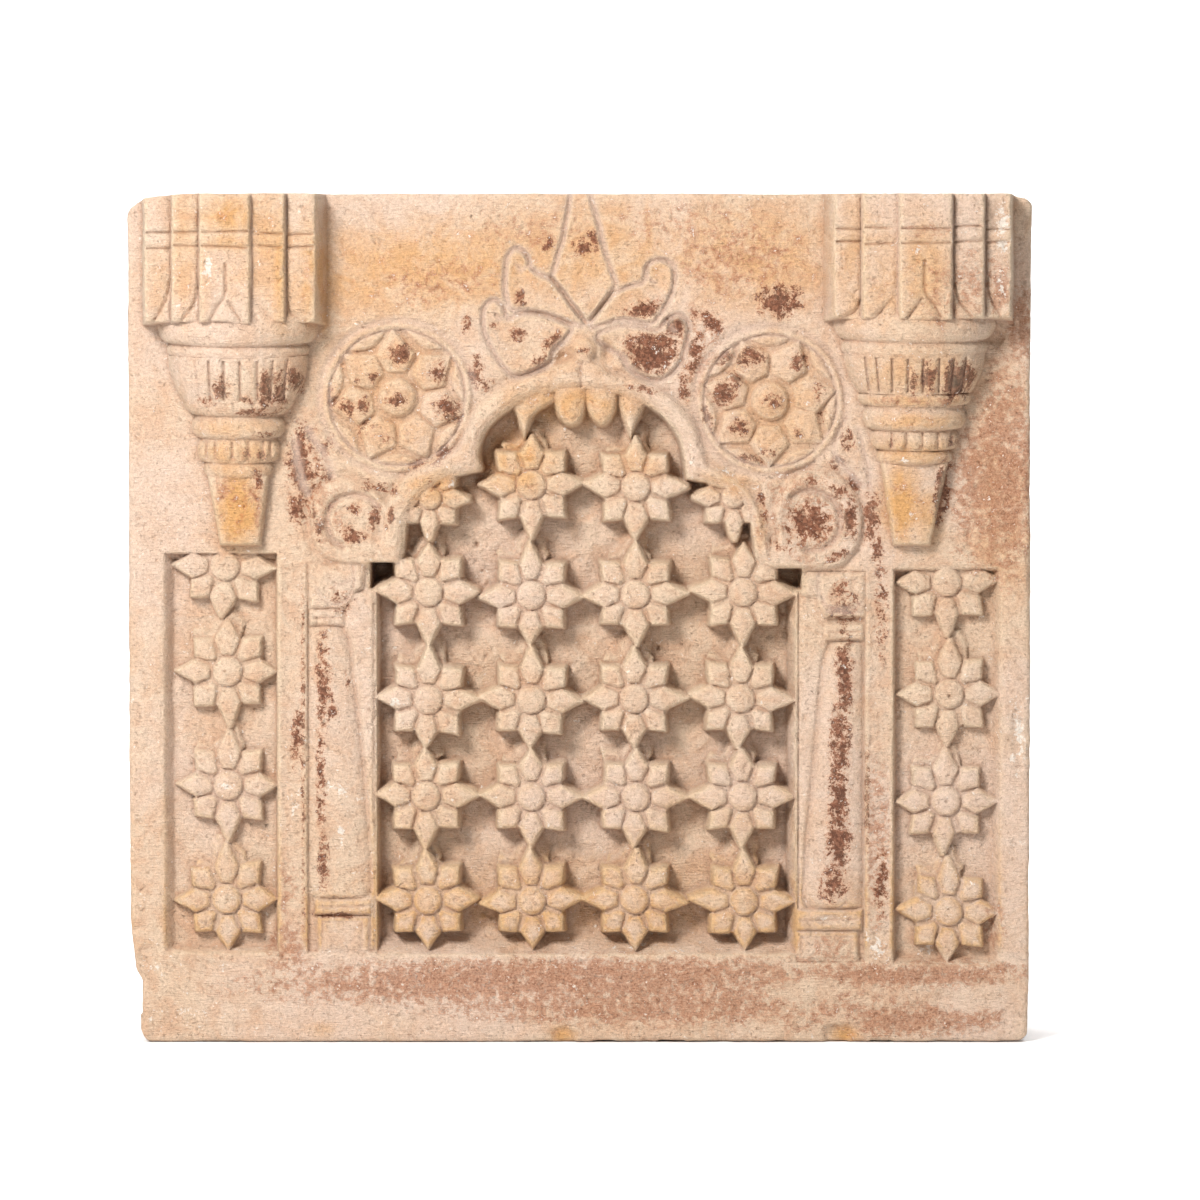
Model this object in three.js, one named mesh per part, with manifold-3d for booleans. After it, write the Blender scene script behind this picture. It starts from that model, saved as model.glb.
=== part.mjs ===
// A carved sandstone niche panel: one block, with a cusped arch over a niche full of pierced-looking flowers,
// a column at each jamb, an upright bed of flowers at each side, two medallions, a leaf finial and two corbels.
// Millimetres, +Z up, the carved front towards -Y, the origin under the middle of the underside.
import * as THREE from "three";
import { mergeVertices } from "three/addons/utils/BufferGeometryUtils.js";
import Module from "manifold-3d";

const wasm = await Module();
wasm.setup();

// The block. Every depth below is measured forward of its dressed face, so a sunk floor is negative.
const WIDTH = 600;
const HEIGHT = 565;
const SLAB = 95; // from the back to the dressed face
const REACH = 46; // how far the corbels stand out from the face
const FACE_Y = (SLAB + REACH) / 2 - SLAB;
const SEAT = 1; // how deep a raised piece is rooted in the stone under it
const CLEAR = 60; // how far a cutter runs on in front of the face

// Floors and crowns of the carving.
const NICHE_FLOOR = -25;
const BED_FLOOR = -12;
const BAY_FLOOR = -4; // the shallow bay that each column stands in
const FLOWER_TOP = -1;
const ARCH_TOP = 3.5;
const COIL_TOP = 2.5;
const SPRING = 320.5; // where the arch rises from the capitals

// An eight-petalled flower: four pointed petals to the neighbours and four square ones between them.
const FLOWER = { boss: 9.2, root: 9.8, broad: 19.5, broadHalf: 8.3, tip: 33.2 };
const SQUARE = { root: 7.6, side: 9.9, corner: 21.4 };
const PETAL_LEAN = 0.5; // how far a petal's sides spread from its top to its foot
const LATTICE = {
  columns: [-101.5, -32.5, 36.8, 108.2],
  rows: [94.9, 163.9, 228.9, 299.3],
  crown: 370.3, // the middle columns alone reach this row
  small: [{ x: -99.5, z: 360, size: 0.82 }, { x: 101.5, z: 360, size: 0.82 }],
};
const BEDS = [
  { left: -277.4, right: -200.4, low: 59, high: 327, at: -235.5, rows: [95.8, 171.7, 247.6, 318] },
  { left: 207.7, right: 280.7, low: 51, high: 317, at: 244.5, rows: [87.6, 161.3, 232.6, 307.2] },
];

// The arch, left and right: its foot, the curve of its lower lobe, its cusp and the lobe above.
const ARCH = [
  { jamb: -137, foot: -122, lobe: [-113, 372], cusp: [-64.5, 382], crown: [-76, 424], apex: [1, 437] },
  { jamb: 145.5, foot: 123, lobe: [118, 370], cusp: [70.5, 378.5], crown: [82, 424], apex: [1, 437] },
];
const BAND = 11; // width of the raised moulding along the arch
const SILL = { low: 58, high: 69.7 }; // it slopes up from its front edge to the niche's floor
const SOCKETS = [[-45, -137, -122.5, 305, 317.5], [-31, 129, 145.5, 304, 313.5]]; // floors and edges

const VOLUTES = [
  { x: -146, z: 345.7, disc: 16, coilX: -154, coilZ: 348.2, across: 24.5, up: 27.7 },
  { x: 152.6, z: 347, disc: 16.5, coilX: 157.5, coilZ: 348.5, across: 28.5, up: 32 },
];
const MEDALLIONS = [
  { x: -121, z: 429.7, radius: 49.5, firstPetal: Math.PI / 2 },
  { x: 126, z: 427.4, radius: 48.5, firstPetal: -Math.PI / 2 },
];
const ROSE = { petals: 7, ring: 3.5, boss: 13.2 };
const ROSE_PETAL = { root: 17.4, rootHalf: 7.2, broad: 29, broadHalf: 13, tip: 44.4 };

// Each column: its pieces from the plinth up, as left, right, low and high edges.
const COLUMNS = [
  {
    bay: [-182.5, -136, 59, SPRING + 2],
    plinth: [-174.5, -138.7, 59, 85],
    base: [-175.4, -137.4, 87, 95],
    neck: [-178.8, -157.3, 278.7, 288.3],
    capital: [-178.8, -139, -157.3, 290, 320.5],
    shaft: { outer: -180.5, innerFoot: -138.7, innerHead: -156, low: 96.5, high: 277.4 },
  },
  {
    bay: [144.5, 190.8, 52.6, 315],
    plinth: [143.8, 184.9, 52.6, 74],
    base: [144.5, 187, 75.5, 87.6],
    neck: [162.3, 188.5, 268.8, 279.4],
    capital: [190, 147, 163, 286, 314],
    shaft: { outer: 188, innerFoot: 150.5, innerHead: 163.9, low: 89.5, high: 266.8 },
  },
];

// The corbels: a stepped capital over turned members that shrink downwards to a plain drop.
const CORBELS = [
  {
    steps: [-286.7, -268.1, -249.5, -216.3, -193.8, -173.9],
    splay: 8.3,
    foot: 479,
    lines: [530.2, 538.5],
    axis: -226.5,
    members: {
      torus: [479, 464, 53.4], fillet: [462.8, 455.9, 46.5], bowl: [455.9, 426.5, 45.5, 36.8],
      cove: [426.5, 418, 35.8, 29.5], cushion: [416.7, 403, 30.5], beads: [401.5, 387.2, 26.5],
      ring: [386.9, 377.2, 22.7], drop: [376.9, 332.7, 19, 12.6],
    },
  },
  {
    steps: [284, 265.8, 244.5, 209.4, 185.8, 167.2],
    splay: -8.6,
    foot: 481.8,
    lines: [532.5, 542.2],
    axis: 222,
    members: {
      torus: [481.4, 466.5, 54], fillet: [465.2, 457.2, 48], bowl: [457.2, 431.7, 46.3, 37.2],
      cove: [431.7, 424.2, 36.8, 33], cushion: [422.7, 408.8, 33.8], beads: [407.8, 395.7, 29],
      ring: [394.2, 386.2, 25.3], drop: [385.5, 332.7, 21.2, 11.3],
    },
  },
];
const STEP_DEPTHS = [30, 38, REACH];
const FLATNESS = 0.8; // a turned member's depth over its half width
const FLUTES = 8; // reeds round the front of the bowl
const BEADS = 6; // in the row under the cushion
const GROOVE = 2.6; // depth of the grooves that part the reeds and the beads
const TIGHT = -0.9; // draws the two edges of each such groove together, as a share of half a line's turn

// The finial over the arch: an upright spike between two curled leaves a side, drawn by their edges.
const SPIKE = [[-3.9, 562], [5.8, 562], [23.4, 504], [4.9, 481], [-18.5, 510]];
const LEAVES = [
  [[0, 482], [-18, 506], [-30, 513.5], [-34.5, 524], [-42, 528], [-48.5, 521], [-49.3, 503], [-46, 488.5],
    [-24.4, 485.5]],
  [[-8, 474.5], [-22, 481], [-44, 483], [-50, 490.5], [-57, 494], [-63.8, 488], [-62.5, 470], [-49, 448],
    [-38, 444.5], [-20.5, 453.5]],
  [[9, 478.5], [24, 497.5], [42, 506], [45, 517.5], [53, 520.5], [61.8, 514], [59.5, 498], [48, 479.5],
    [30, 481.5]],
  [[14, 470], [31, 477], [52, 474.5], [58.5, 481.8], [66, 484], [71.5, 477], [68, 456], [54.5, 442.5],
    [41, 444.5], [28.5, 458]],
];
const KNOB = [2.8, 462.2, 9, 8]; // centre across, centre up, half width, half height

// Outlines, drawn in the plane of the face.
const point = ([x, z]) => new THREE.Vector2(x, z);
const polygon = (points) => new THREE.Shape(points.map(point));
const rectangle = ([x0, x1, z0, z1]) => polygon([[x0, z0], [x1, z0], [x1, z1], [x0, z1]]);

function oval(x, z, across, up, sides) {
  const points = [];
  for (let i = 0; i < sides; i++) {
    const turn = ((i + 0.5) / sides) * 2 * Math.PI;
    points.push([x + across * Math.cos(turn), z + up * Math.sin(turn)]);
  }
  return polygon(points);
}

function smoothLoop(points, sides) {
  const corners = points.map(([x, z]) => new THREE.Vector3(x, z, 0));
  const spaced = new THREE.CatmullRomCurve3(corners, true).getSpacedPoints(sides).slice(0, -1);
  return polygon(spaced.map((p) => [p.x, p.y]));
}

// A petal's outline given along +X, turned and set at a flower's centre.
function petalAt(outline, x, z, turn, size = 1) {
  const [c, s] = [size * Math.cos(turn), size * Math.sin(turn)];
  return polygon(outline.map(([u, v]) => [x + u * c - v * s, z + u * s + v * c]));
}

// Solids.
function solidOf(geometry) {
  const bare = geometry.index ? geometry.toNonIndexed() : geometry;
  bare.deleteAttribute("normal");
  bare.deleteAttribute("uv");
  const merged = mergeVertices(bare);
  const vertProperties = merged.attributes.position.array;
  const triVerts = new Uint32Array(merged.index.array);
  return new wasm.Manifold(new wasm.Mesh({ numProp: 3, vertProperties, triVerts }));
}

// An outline carried forward from the surface `from` to `to`. It is true to size at `to` and spreads by `lean`
// on the way back, over the stretch `rise`; with more than one round its edge is rounded, not slanted.
function island(shape, from, to, { lean = 0, rise = to - from, rounds = 1, arcs = 4 } = {}) {
  const depth = to - from + SEAT - (lean ? rise : 0);
  const geometry = new THREE.ExtrudeGeometry(shape, {
    depth,
    curveSegments: arcs,
    bevelEnabled: lean > 0,
    bevelThickness: rise,
    bevelSize: lean,
    bevelSegments: rounds,
  });
  geometry.rotateX(Math.PI / 2).translate(0, FACE_Y - from + SEAT, 0);
  return solidOf(geometry);
}

// A cutter that sinks an outline to `floor`: true to size at `mouth`, and smaller by `lean` at the floor.
function sinking(shape, floor, { lean = 0, mouth = 0, arcs = 4 } = {}) {
  const geometry = new THREE.ExtrudeGeometry(shape, {
    depth: lean ? CLEAR - mouth : CLEAR - floor,
    curveSegments: arcs,
    bevelEnabled: lean > 0,
    bevelThickness: mouth - floor,
    bevelSize: lean,
    bevelOffset: -lean,
    bevelSegments: 1,
  });
  geometry.rotateX(Math.PI / 2).translate(0, FACE_Y - (lean ? mouth : floor), 0);
  return solidOf(geometry);
}

// A plan (across, forward of the face) carried up from `low` to `high`.
function standing(plan, low, high) {
  const corners = plan.map(([x, forward]) => new THREE.Vector2(x, FACE_Y - forward));
  const shape = new THREE.Shape(corners);
  const geometry = new THREE.ExtrudeGeometry(shape, { depth: high - low, bevelEnabled: false });
  return solidOf(geometry.translate(0, 0, low));
}

const joined = (solids) => solids.reduce((all, one) => all.add(one));

// The block's face: worn round at the top left, chipped and rounded at the foot of its left edge.
function blockOutline() {
  const [left, right] = [-WIDTH / 2, WIDTH / 2];
  const shape = new THREE.Shape();
  shape.moveTo(left + 20, 0);
  shape.lineTo(right - 9, 0);
  shape.quadraticCurveTo(right - 1.5, 0.5, right - 1.5, 9);
  shape.lineTo(right, 300);
  shape.lineTo(right, HEIGHT - 12);
  shape.quadraticCurveTo(right, HEIGHT - 5, right - 8, HEIGHT - 4);
  shape.lineTo(right - 17, HEIGHT);
  shape.lineTo(left + 30, HEIGHT);
  shape.quadraticCurveTo(left, HEIGHT - 2, left, HEIGHT - 22);
  shape.lineTo(left, 300);
  shape.lineTo(left + 3, 62);
  shape.lineTo(left + 6.5, 46);
  shape.lineTo(left + 7, 14);
  shape.quadraticCurveTo(left + 8.5, 1, left + 20, 0);
  return shape;
}

// The opening of the niche, from its sill up the jambs and round the cusped arch.
function nicheOutline() {
  const [west, east] = ARCH;
  const shape = new THREE.Shape();
  shape.moveTo(west.jamb, SILL.low);
  shape.lineTo(east.jamb, SILL.low);
  shape.lineTo(east.jamb, SPRING - 6);
  shape.lineTo(east.foot, SPRING - 4);
  shape.quadraticCurveTo(...east.lobe, ...east.cusp);
  shape.quadraticCurveTo(...east.crown, ...east.apex);
  shape.quadraticCurveTo(...west.crown, ...west.cusp);
  shape.quadraticCurveTo(...west.lobe, west.foot, SPRING);
  shape.lineTo(west.jamb, SPRING);
  return shape;
}

// The raised band along the arch. Its inner edge runs inside the niche, so the cut of the niche trims it.
function archBand() {
  const [west, east] = ARCH;
  const { apex } = west;
  const shape = new THREE.Shape();
  shape.moveTo(east.foot - 4, SPRING - 4);
  shape.lineTo(east.foot + BAND, SPRING - 4);
  shape.quadraticCurveTo(east.lobe[0] + 12, east.lobe[1] + 20, east.cusp[0] + 7, east.cusp[1] + 11);
  shape.quadraticCurveTo(east.crown[0] + 6, east.crown[1] + 9, 30, apex[1] + 5);
  shape.lineTo(12, apex[1] + 9);
  shape.lineTo(2, apex[1] + 17);
  shape.lineTo(-9, apex[1] + 9);
  shape.lineTo(-28, apex[1] + 5);
  shape.quadraticCurveTo(west.crown[0] - 6, west.crown[1] + 9, west.cusp[0] - 7, west.cusp[1] + 11);
  shape.quadraticCurveTo(west.lobe[0] - 12, west.lobe[1] + 20, west.foot - BAND, SPRING);
  shape.lineTo(west.foot + 4, SPRING);
  for (const [x, z] of [[-106, 358], [-58, 376], [-50, 408], apex, [54, 408], [62, 372], [108, 356]]) {
    shape.lineTo(x, z === apex[1] ? z - 6 : z);
  }
  return shape;
}

// The cutter of the niche: its lower side slopes with the sill, and a socket is sunk at each upper corner.
function niche() {
  const slope = new THREE.Shape([
    new THREE.Vector2(FACE_Y, SILL.low - 20),
    new THREE.Vector2(FACE_Y - NICHE_FLOOR + 5, SILL.low - 20),
    new THREE.Vector2(FACE_Y - NICHE_FLOOR + 5, SILL.high + 2.4),
    new THREE.Vector2(FACE_Y, SILL.low),
  ]);
  const wedge = new THREE.ExtrudeGeometry(slope, { depth: WIDTH, bevelEnabled: false });
  wedge.rotateX(Math.PI / 2).rotateZ(Math.PI / 2).translate(WIDTH / 2, 0, 0);
  const opening = sinking(nicheOutline(), NICHE_FLOOR, { lean: 0.8, mouth: ARCH_TOP + 1, arcs: 5 });
  const sockets = SOCKETS.map(([floor, ...edges]) => sinking(rectangle(edges), floor));
  return joined([opening.subtract(solidOf(wedge)), ...sockets]);
}

function flower({ x, z, size = 1, floor }) {
  const { boss, root, broad, broadHalf, tip } = FLOWER;
  const pointed = [[root, 0], [broad, -broadHalf], [tip, 0], [broad, broadHalf]];
  const { root: inner, side, corner } = SQUARE;
  const square = [[inner, inner], [corner, side], [corner, corner], [side, corner]];
  const button = oval(x, z, boss * size, boss * size, 8);
  const pieces = [island(button, floor, FLOWER_TOP + 1.2, { lean: PETAL_LEAN })];
  for (let quarter = 0; quarter < 4; quarter++) {
    for (const outline of [pointed, square]) {
      const petal = petalAt(outline, x, z, (quarter * Math.PI) / 2, size);
      pieces.push(island(petal, floor, FLOWER_TOP, { lean: PETAL_LEAN }));
    }
  }
  return joined(pieces);
}

function lattice() {
  const flowers = LATTICE.rows.flatMap((z) => LATTICE.columns.map((x) => ({ x, z })));
  flowers.push(...LATTICE.columns.slice(1, 3).map((x) => ({ x, z: LATTICE.crown })), ...LATTICE.small);
  return flowers.map((one) => flower({ ...one, floor: NICHE_FLOOR }));
}

// Two hanging buds under the point of the arch, and a leaf tip at each side of them.
function buds() {
  const [drop, wide] = [410.5, 9.3];
  const bud = (x) => smoothLoop([[x - wide, 440], [x - wide, 420], [x, drop], [x + wide, 420], [x + wide, 440]], 9);
  const leafTip = (x0, x1, tipX) => polygon([[x0, 426], [tipX, 403], [x1, 430], [(x0 + x1) / 2, 445]]);
  const shapes = [bud(-6.3), bud(14.2), leafTip(-45.8, -20, -36.5), leafTip(27, 43, 33.6)];
  return shapes.map((shape) => island(shape, NICHE_FLOOR, FLOWER_TOP, { lean: PETAL_LEAN }));
}

function rosette({ x, z, radius, firstPetal }) {
  const { petals, ring, boss } = ROSE;
  const { root, rootHalf, broad, broadHalf, tip } = ROSE_PETAL;
  const size = radius / MEDALLIONS[0].radius;
  const kite = [[root, -rootHalf], [broad, -broadHalf], [tip, 0], [broad, broadHalf], [root, rootHalf]];
  const rim = radius / size - ring - 0.8;
  const half = 0.3; // half the angle that the small lens between two tips spans
  const [along, beside] = [rim * Math.cos(half), rim * Math.sin(half)];
  const lens = [[along, -beside], [rim, 0], [along, beside], [37.6, 0]];
  const floor = -3.5;
  const pieces = [island(oval(x, z, boss * size, boss * size, 10), floor, 3.2, { lean: 2.5, rise: 5 })];
  for (let i = 0; i < petals; i++) {
    const turn = firstPetal + (i * 2 * Math.PI) / petals;
    pieces.push(island(petalAt(kite, x, z, turn, size), floor, 1.2, { lean: 0.9 }));
    pieces.push(island(petalAt(lens, x, z, turn + Math.PI / petals, size), floor, 0.6, { lean: 0.6 }));
  }
  return {
    ring: island(oval(x, z, radius, radius, 20), 0, 1.6, { lean: 1.2 }),
    sunk: sinking(oval(x, z, radius - ring, radius - ring, 20), floor, { lean: 0.8, mouth: 1.7 }),
    pieces,
  };
}

function volute({ x, z, disc, coilX, coilZ, across, up }) {
  return {
    coil: island(oval(coilX, coilZ, across, up, 16), 0, COIL_TOP, { lean: 1.5 }),
    sunk: sinking(oval(x, z, disc + 3, disc + 3, 14), -3.5, { lean: 1.2, mouth: COIL_TOP }),
    disc: island(oval(x, z, disc, disc, 12), -3.5, 1, { lean: 1.4 }),
  };
}

// A shaft in low half round: straight outside, swelling towards its foot inside.
function shaftOutline({ outer, innerFoot, innerHead, low, high }) {
  const inward = Math.sign(innerFoot - outer);
  const shape = new THREE.Shape();
  shape.moveTo(outer + inward * 5, low);
  shape.lineTo(innerFoot - inward * 5, low);
  shape.quadraticCurveTo(innerFoot, low, innerFoot, low + 16);
  shape.quadraticCurveTo(innerFoot - inward * 3, (low + high) / 2, innerHead, high - 12);
  shape.lineTo(innerHead - inward * 4, high);
  shape.lineTo(outer + inward * 5, high);
  shape.quadraticCurveTo(outer, high - 3, outer, high - 14);
  shape.lineTo(outer, low + 6);
  return shape;
}

function column({ plinth, base, neck, capital, shaft }) {
  const [outer, inner, bell, low, high] = capital;
  const throat = [(bell + inner) / 2, low + 8];
  const bellShape = polygon([[outer, low], [bell, low], throat, [inner, low + 16], [inner, high], [outer, high]]);
  const narrow = shaftOutline(shaft).getPoints(3).map((p) => [p.x, p.y]);
  return [
    island(polygon(narrow), BAY_FLOOR, 1, { lean: 3, rise: 4 }),
    island(rectangle(plinth), BAY_FLOOR, 0, { lean: 0.8 }),
    island(rectangle(base), BAY_FLOOR, 1, { lean: 1.2 }),
    island(rectangle(neck), BAY_FLOOR, 1, { lean: 1.2 }),
    island(bellShape, BAY_FLOOR, 0.8, { lean: 1 }),
  ];
}

// The stepped plan of a corbel's capital, standing `back` mm inside its true faces.
function steppedPlan({ steps, splay }, back) {
  const [outer, , , , , inner] = steps;
  const way = Math.sign(inner - outer);
  const plan = [[outer + way * back, -SEAT]];
  steps.forEach((x, i) => {
    const level = Math.min(i, 5 - i);
    const edge = x + way * back * (i < 3 ? 1 : -1);
    const [near, far] = i < 3 ? [level - 1, level] : [level, level - 1];
    if (near >= 0) plan.push([edge, STEP_DEPTHS[near] - back]);
    if (i < 3 || far >= 0) plan.push([edge, STEP_DEPTHS[Math.max(far, 0)] - back]);
    if (i === 5) plan.push([inner + splay - way * back, -SEAT]);
  });
  return plan;
}

// The lower end of each face of the capital is cut back beside a leaf edge that curves to the outer corner.
function leafCuts({ steps, foot }) {
  const cuts = [];
  for (let i = 0; i < 5; i++) {
    const [edge, next] = [steps[i], steps[i + 1]];
    const middle = (edge + next) / 2;
    const halves = i === 2 ? [[edge, middle], [next, middle]] : [i < 2 ? [edge, next] : [next, edge]];
    for (const [corner, stem] of halves) {
      const shape = new THREE.Shape();
      shape.moveTo(corner + (stem - corner) * 0.3, foot - 2);
      shape.quadraticCurveTo(corner + (stem - corner) * 0.75, foot + 9, stem, foot + 22);
      shape.lineTo(stem + (stem - corner) * 0.01, foot - 2);
      const depth = STEP_DEPTHS[Math.min(i, 4 - i)];
      cuts.push(sinking(shape, depth - 2.2, { mouth: depth, arcs: 2 }));
    }
  }
  return cuts;
}

// Turned members as half rounds under the capital: a list of radius and height, from the top down.
function turned(profile, axis) {
  const points = profile.map(([radius, z]) => new THREE.Vector2(radius, z)).reverse();
  const geometry = new THREE.LatheGeometry(points, 12);
  geometry.rotateX(Math.PI / 2).scale(1, FLATNESS, 1).translate(axis, FACE_Y, 0);
  return solidOf(geometry);
}

// A turned member parted into upright reeds by narrow grooves: every third line of its wall is drawn in.
function reeded([top, bottom, topRadius, bottomRadius], axis, reeds) {
  const sides = 6 * reeds; // three lines a reed, and as many again in the hidden half
  const geometry = new THREE.CylinderGeometry(topRadius, bottomRadius, top - bottom, sides);
  geometry.rotateX(Math.PI / 2).translate(0, 0, (top + bottom) / 2);
  const place = geometry.attributes.position;
  for (let i = 0; i < place.count; i++) {
    const [x, y] = [place.getX(i), place.getY(i)];
    const radius = Math.hypot(x, y);
    const line = Math.round((Math.atan2(y, x) / Math.PI + 2) * (sides / 2)) % 3;
    const turn = Math.atan2(y, x) + ([0, 1, -1][line] * TIGHT * Math.PI) / sides;
    const reach = radius > 1 && line === 0 ? radius - GROOVE : radius;
    place.setXY(i, axis + reach * Math.cos(turn), FACE_Y + reach * FLATNESS * Math.sin(turn));
  }
  return solidOf(geometry);
}

function corbel(spec) {
  const { axis, foot, lines, members } = spec;
  const { torus, fillet, bowl, cove, cushion, beads, ring, drop } = members;
  const profile = [[0, foot + SEAT], [torus[2] * 0.95, foot + SEAT], [torus[2], (torus[0] + torus[1]) / 2],
    [torus[2] * 0.9, torus[1]], [fillet[2], fillet[1]],
    [bowl[2] - 8, bowl[0] - 2], [bowl[3] - 5, bowl[1] + 2], [bowl[3], bowl[1]], [cove[3], cove[1]],
    [cushion[2] * 0.9, cushion[0]], [cushion[2], (cushion[0] + cushion[1]) / 2], [cushion[2] * 0.9, cushion[1]],
    [beads[2] - 6, beads[0]], [beads[2] - 6, beads[1]], [ring[2], ring[0] - 1], [ring[2] - 2, ring[1]],
    [drop[2], drop[0]], [drop[3], drop[1]], [0, drop[1]]];
  const pieces = [turned(profile, axis), standing(steppedPlan(spec, 1.4), foot, HEIGHT - SEAT)];
  const levels = [foot, ...lines, HEIGHT];
  for (let i = 0; i < 3; i++) {
    const [low, high] = [levels[i] + (i ? 0.9 : 0), levels[i + 1] - (i < 2 ? 0.9 : 0)];
    pieces.push(standing(steppedPlan(spec, 0), low, high));
  }
  pieces.push(reeded([bowl[0], bowl[1], bowl[2], bowl[3] + 1], axis, FLUTES));
  pieces.push(reeded([cushion[1] + 0.5, beads[1], beads[2] - 1.5, beads[2] - 2.5], axis, BEADS));
  return joined(pieces).subtract(joined(leafCuts(spec)));
}

// An outline's corners moved out by `by`, each along the line that halves its corner.
function grown(shape, by) {
  const corners = shape.getPoints();
  const count = corners.length;
  return new THREE.Shape(
    corners.map((corner, i) => {
      const before = corners[(i + count - 1) % count];
      const after = corners[(i + 1) % count];
      const along = after.clone().sub(before).normalize();
      const outward = THREE.ShapeUtils.isClockWise(corners) ? -by : by;
      return corner.clone().add(new THREE.Vector2(along.y, -along.x).multiplyScalar(outward));
    }),
  );
}

function finial() {
  const outlines = [...LEAVES.map((points) => smoothLoop(points, 12)), polygon(SPIKE)];
  const [x, z, across, up] = KNOB;
  return {
    beds: outlines.map((shape) => sinking(grown(shape, 2.4), -2.6)),
    raised: outlines.map((shape) => island(shape, -2.6, 0.6, { lean: 0.6 })),
    hollows: [-1, 1].map((side) => sinking(oval(x + side * 14, z, 6, 6.5, 8), -6, { lean: 3 })),
    knob: island(oval(x, z, across, up, 8), -4, 5, { lean: 3, rise: 5 }),
  };
}

function panel() {
  const block = { depth: SLAB, curveSegments: 4, bevelEnabled: false };
  const outline = new THREE.ExtrudeGeometry(blockOutline(), block);
  let stone = solidOf(outline.rotateX(Math.PI / 2).translate(0, FACE_Y + SLAB, 0));
  const roses = MEDALLIONS.map(rosette);
  const coils = VOLUTES.map(volute);
  const { beds, raised, hollows, knob } = finial();

  stone = stone.subtract(joined([...beds, ...COLUMNS.map(({ bay }) => sinking(rectangle(bay), BAY_FLOOR))]));
  stone = stone.add(joined([...roses.map((rose) => rose.ring), ...coils.map(({ coil }) => coil)]));
  stone = stone.add(island(archBand(), 0, ARCH_TOP, { lean: 2, arcs: 5 }));
  stone = stone.subtract(joined([...roses, ...coils].map(({ sunk }) => sunk)));
  stone = stone.subtract(joined(hollows));
  stone = stone.add(joined([...roses.flatMap(({ pieces }) => pieces), ...coils.map(({ disc }) => disc)]));
  stone = stone.add(joined([...raised, knob, ...COLUMNS.flatMap(column)]));

  const bedCuts = BEDS.map(({ left, right, low, high }) =>
    sinking(rectangle([left, right, low, high]), BED_FLOOR, { lean: 3 }),
  );
  stone = stone.subtract(joined([niche(), ...bedCuts]));
  const bedFlowers = BEDS.flatMap(({ at, rows }) =>
    rows.map((z) => flower({ x: at, z, size: 1.02, floor: BED_FLOOR })),
  );
  stone = stone.add(joined([...lattice(), ...buds(), ...bedFlowers]));
  return stone.add(joined(CORBELS.map(corbel)));
}

function meshOf(solid, name, material) {
  const { numProp, vertProperties, triVerts } = solid.getMesh();
  const geometry = new THREE.BufferGeometry();
  const positions = new Float32Array((vertProperties.length / numProp) * 3);
  for (let i = 0; i < positions.length / 3; i++) {
    positions.set(vertProperties.subarray(i * numProp, i * numProp + 3), i * 3);
  }
  geometry.setAttribute("position", new THREE.BufferAttribute(positions, 3));
  geometry.setIndex(new THREE.BufferAttribute(triVerts, 1));
  geometry.computeVertexNormals();
  const mesh = new THREE.Mesh(geometry, material);
  mesh.name = name;
  return mesh;
}

const sandstone = new THREE.MeshStandardMaterial({ color: 0xe0c4a4, roughness: 0.92, metalness: 0 });
const object = new THREE.Group();
object.add(meshOf(panel(), "relief_panel", sandstone));

export default object;
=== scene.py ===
import math

import bpy
import numpy as np
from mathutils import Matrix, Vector


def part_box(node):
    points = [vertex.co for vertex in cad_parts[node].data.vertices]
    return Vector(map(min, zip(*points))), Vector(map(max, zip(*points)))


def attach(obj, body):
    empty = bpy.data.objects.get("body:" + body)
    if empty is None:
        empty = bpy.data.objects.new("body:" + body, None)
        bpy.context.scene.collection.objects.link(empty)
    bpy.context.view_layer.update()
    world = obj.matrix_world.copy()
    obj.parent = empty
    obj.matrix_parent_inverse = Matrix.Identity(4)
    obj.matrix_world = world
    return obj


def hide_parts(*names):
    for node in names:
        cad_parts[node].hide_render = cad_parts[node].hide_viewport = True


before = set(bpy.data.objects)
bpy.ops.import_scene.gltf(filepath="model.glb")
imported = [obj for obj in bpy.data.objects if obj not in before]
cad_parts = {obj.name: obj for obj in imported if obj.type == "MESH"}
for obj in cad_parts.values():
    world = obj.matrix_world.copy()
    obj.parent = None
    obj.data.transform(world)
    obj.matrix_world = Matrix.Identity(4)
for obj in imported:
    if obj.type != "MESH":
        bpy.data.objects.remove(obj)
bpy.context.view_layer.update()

MM = 0.001
low_corner, high_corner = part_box("relief_panel")
LEFT, RIGHT = low_corner.x / MM, high_corner.x / MM
BASE, TOP = low_corner.z / MM, high_corner.z / MM
REACH = 46  # how far the corbels stand out from the dressed face
FACE_Y = low_corner.y / MM + REACH
BACK_Y = high_corner.y / MM

FULL_STEP = 0.6
STEP = FULL_STEP  # spacing of the front's points
COARSE = 8  # the back has one point for this many of the front's
TRIANGLES = 196000

# Floors and crowns.
NICHE_FLOOR = -25
BED_FLOOR = -12
BAY_FLOOR = -4.8
FLOWER_TOP = -1.6
ARCH_TOP = 3.6
SPRING = 320.5  # where the arch rises from the capitals


# ---- noise and shapes


def value_noise(x, z, scale, seed):
    """Smooth noise from -1 to 1 with bumps about `scale` mm apart."""
    table = np.random.default_rng(seed).uniform(-1, 1, (256, 256))
    u, v = x / scale + 71.3, z / scale + 37.7
    i, j = np.floor(u).astype(int), np.floor(v).astype(int)
    fu, fv = u - i, v - j
    fu, fv = fu * fu * (3 - 2 * fu), fv * fv * (3 - 2 * fv)
    i0, i1, j0, j1 = i & 255, (i + 1) & 255, j & 255, (j + 1) & 255
    near = table[j0, i0] * (1 - fu) + table[j0, i1] * fu
    far = table[j1, i0] * (1 - fu) + table[j1, i1] * fu
    return near * (1 - fv) + far * fv


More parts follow.
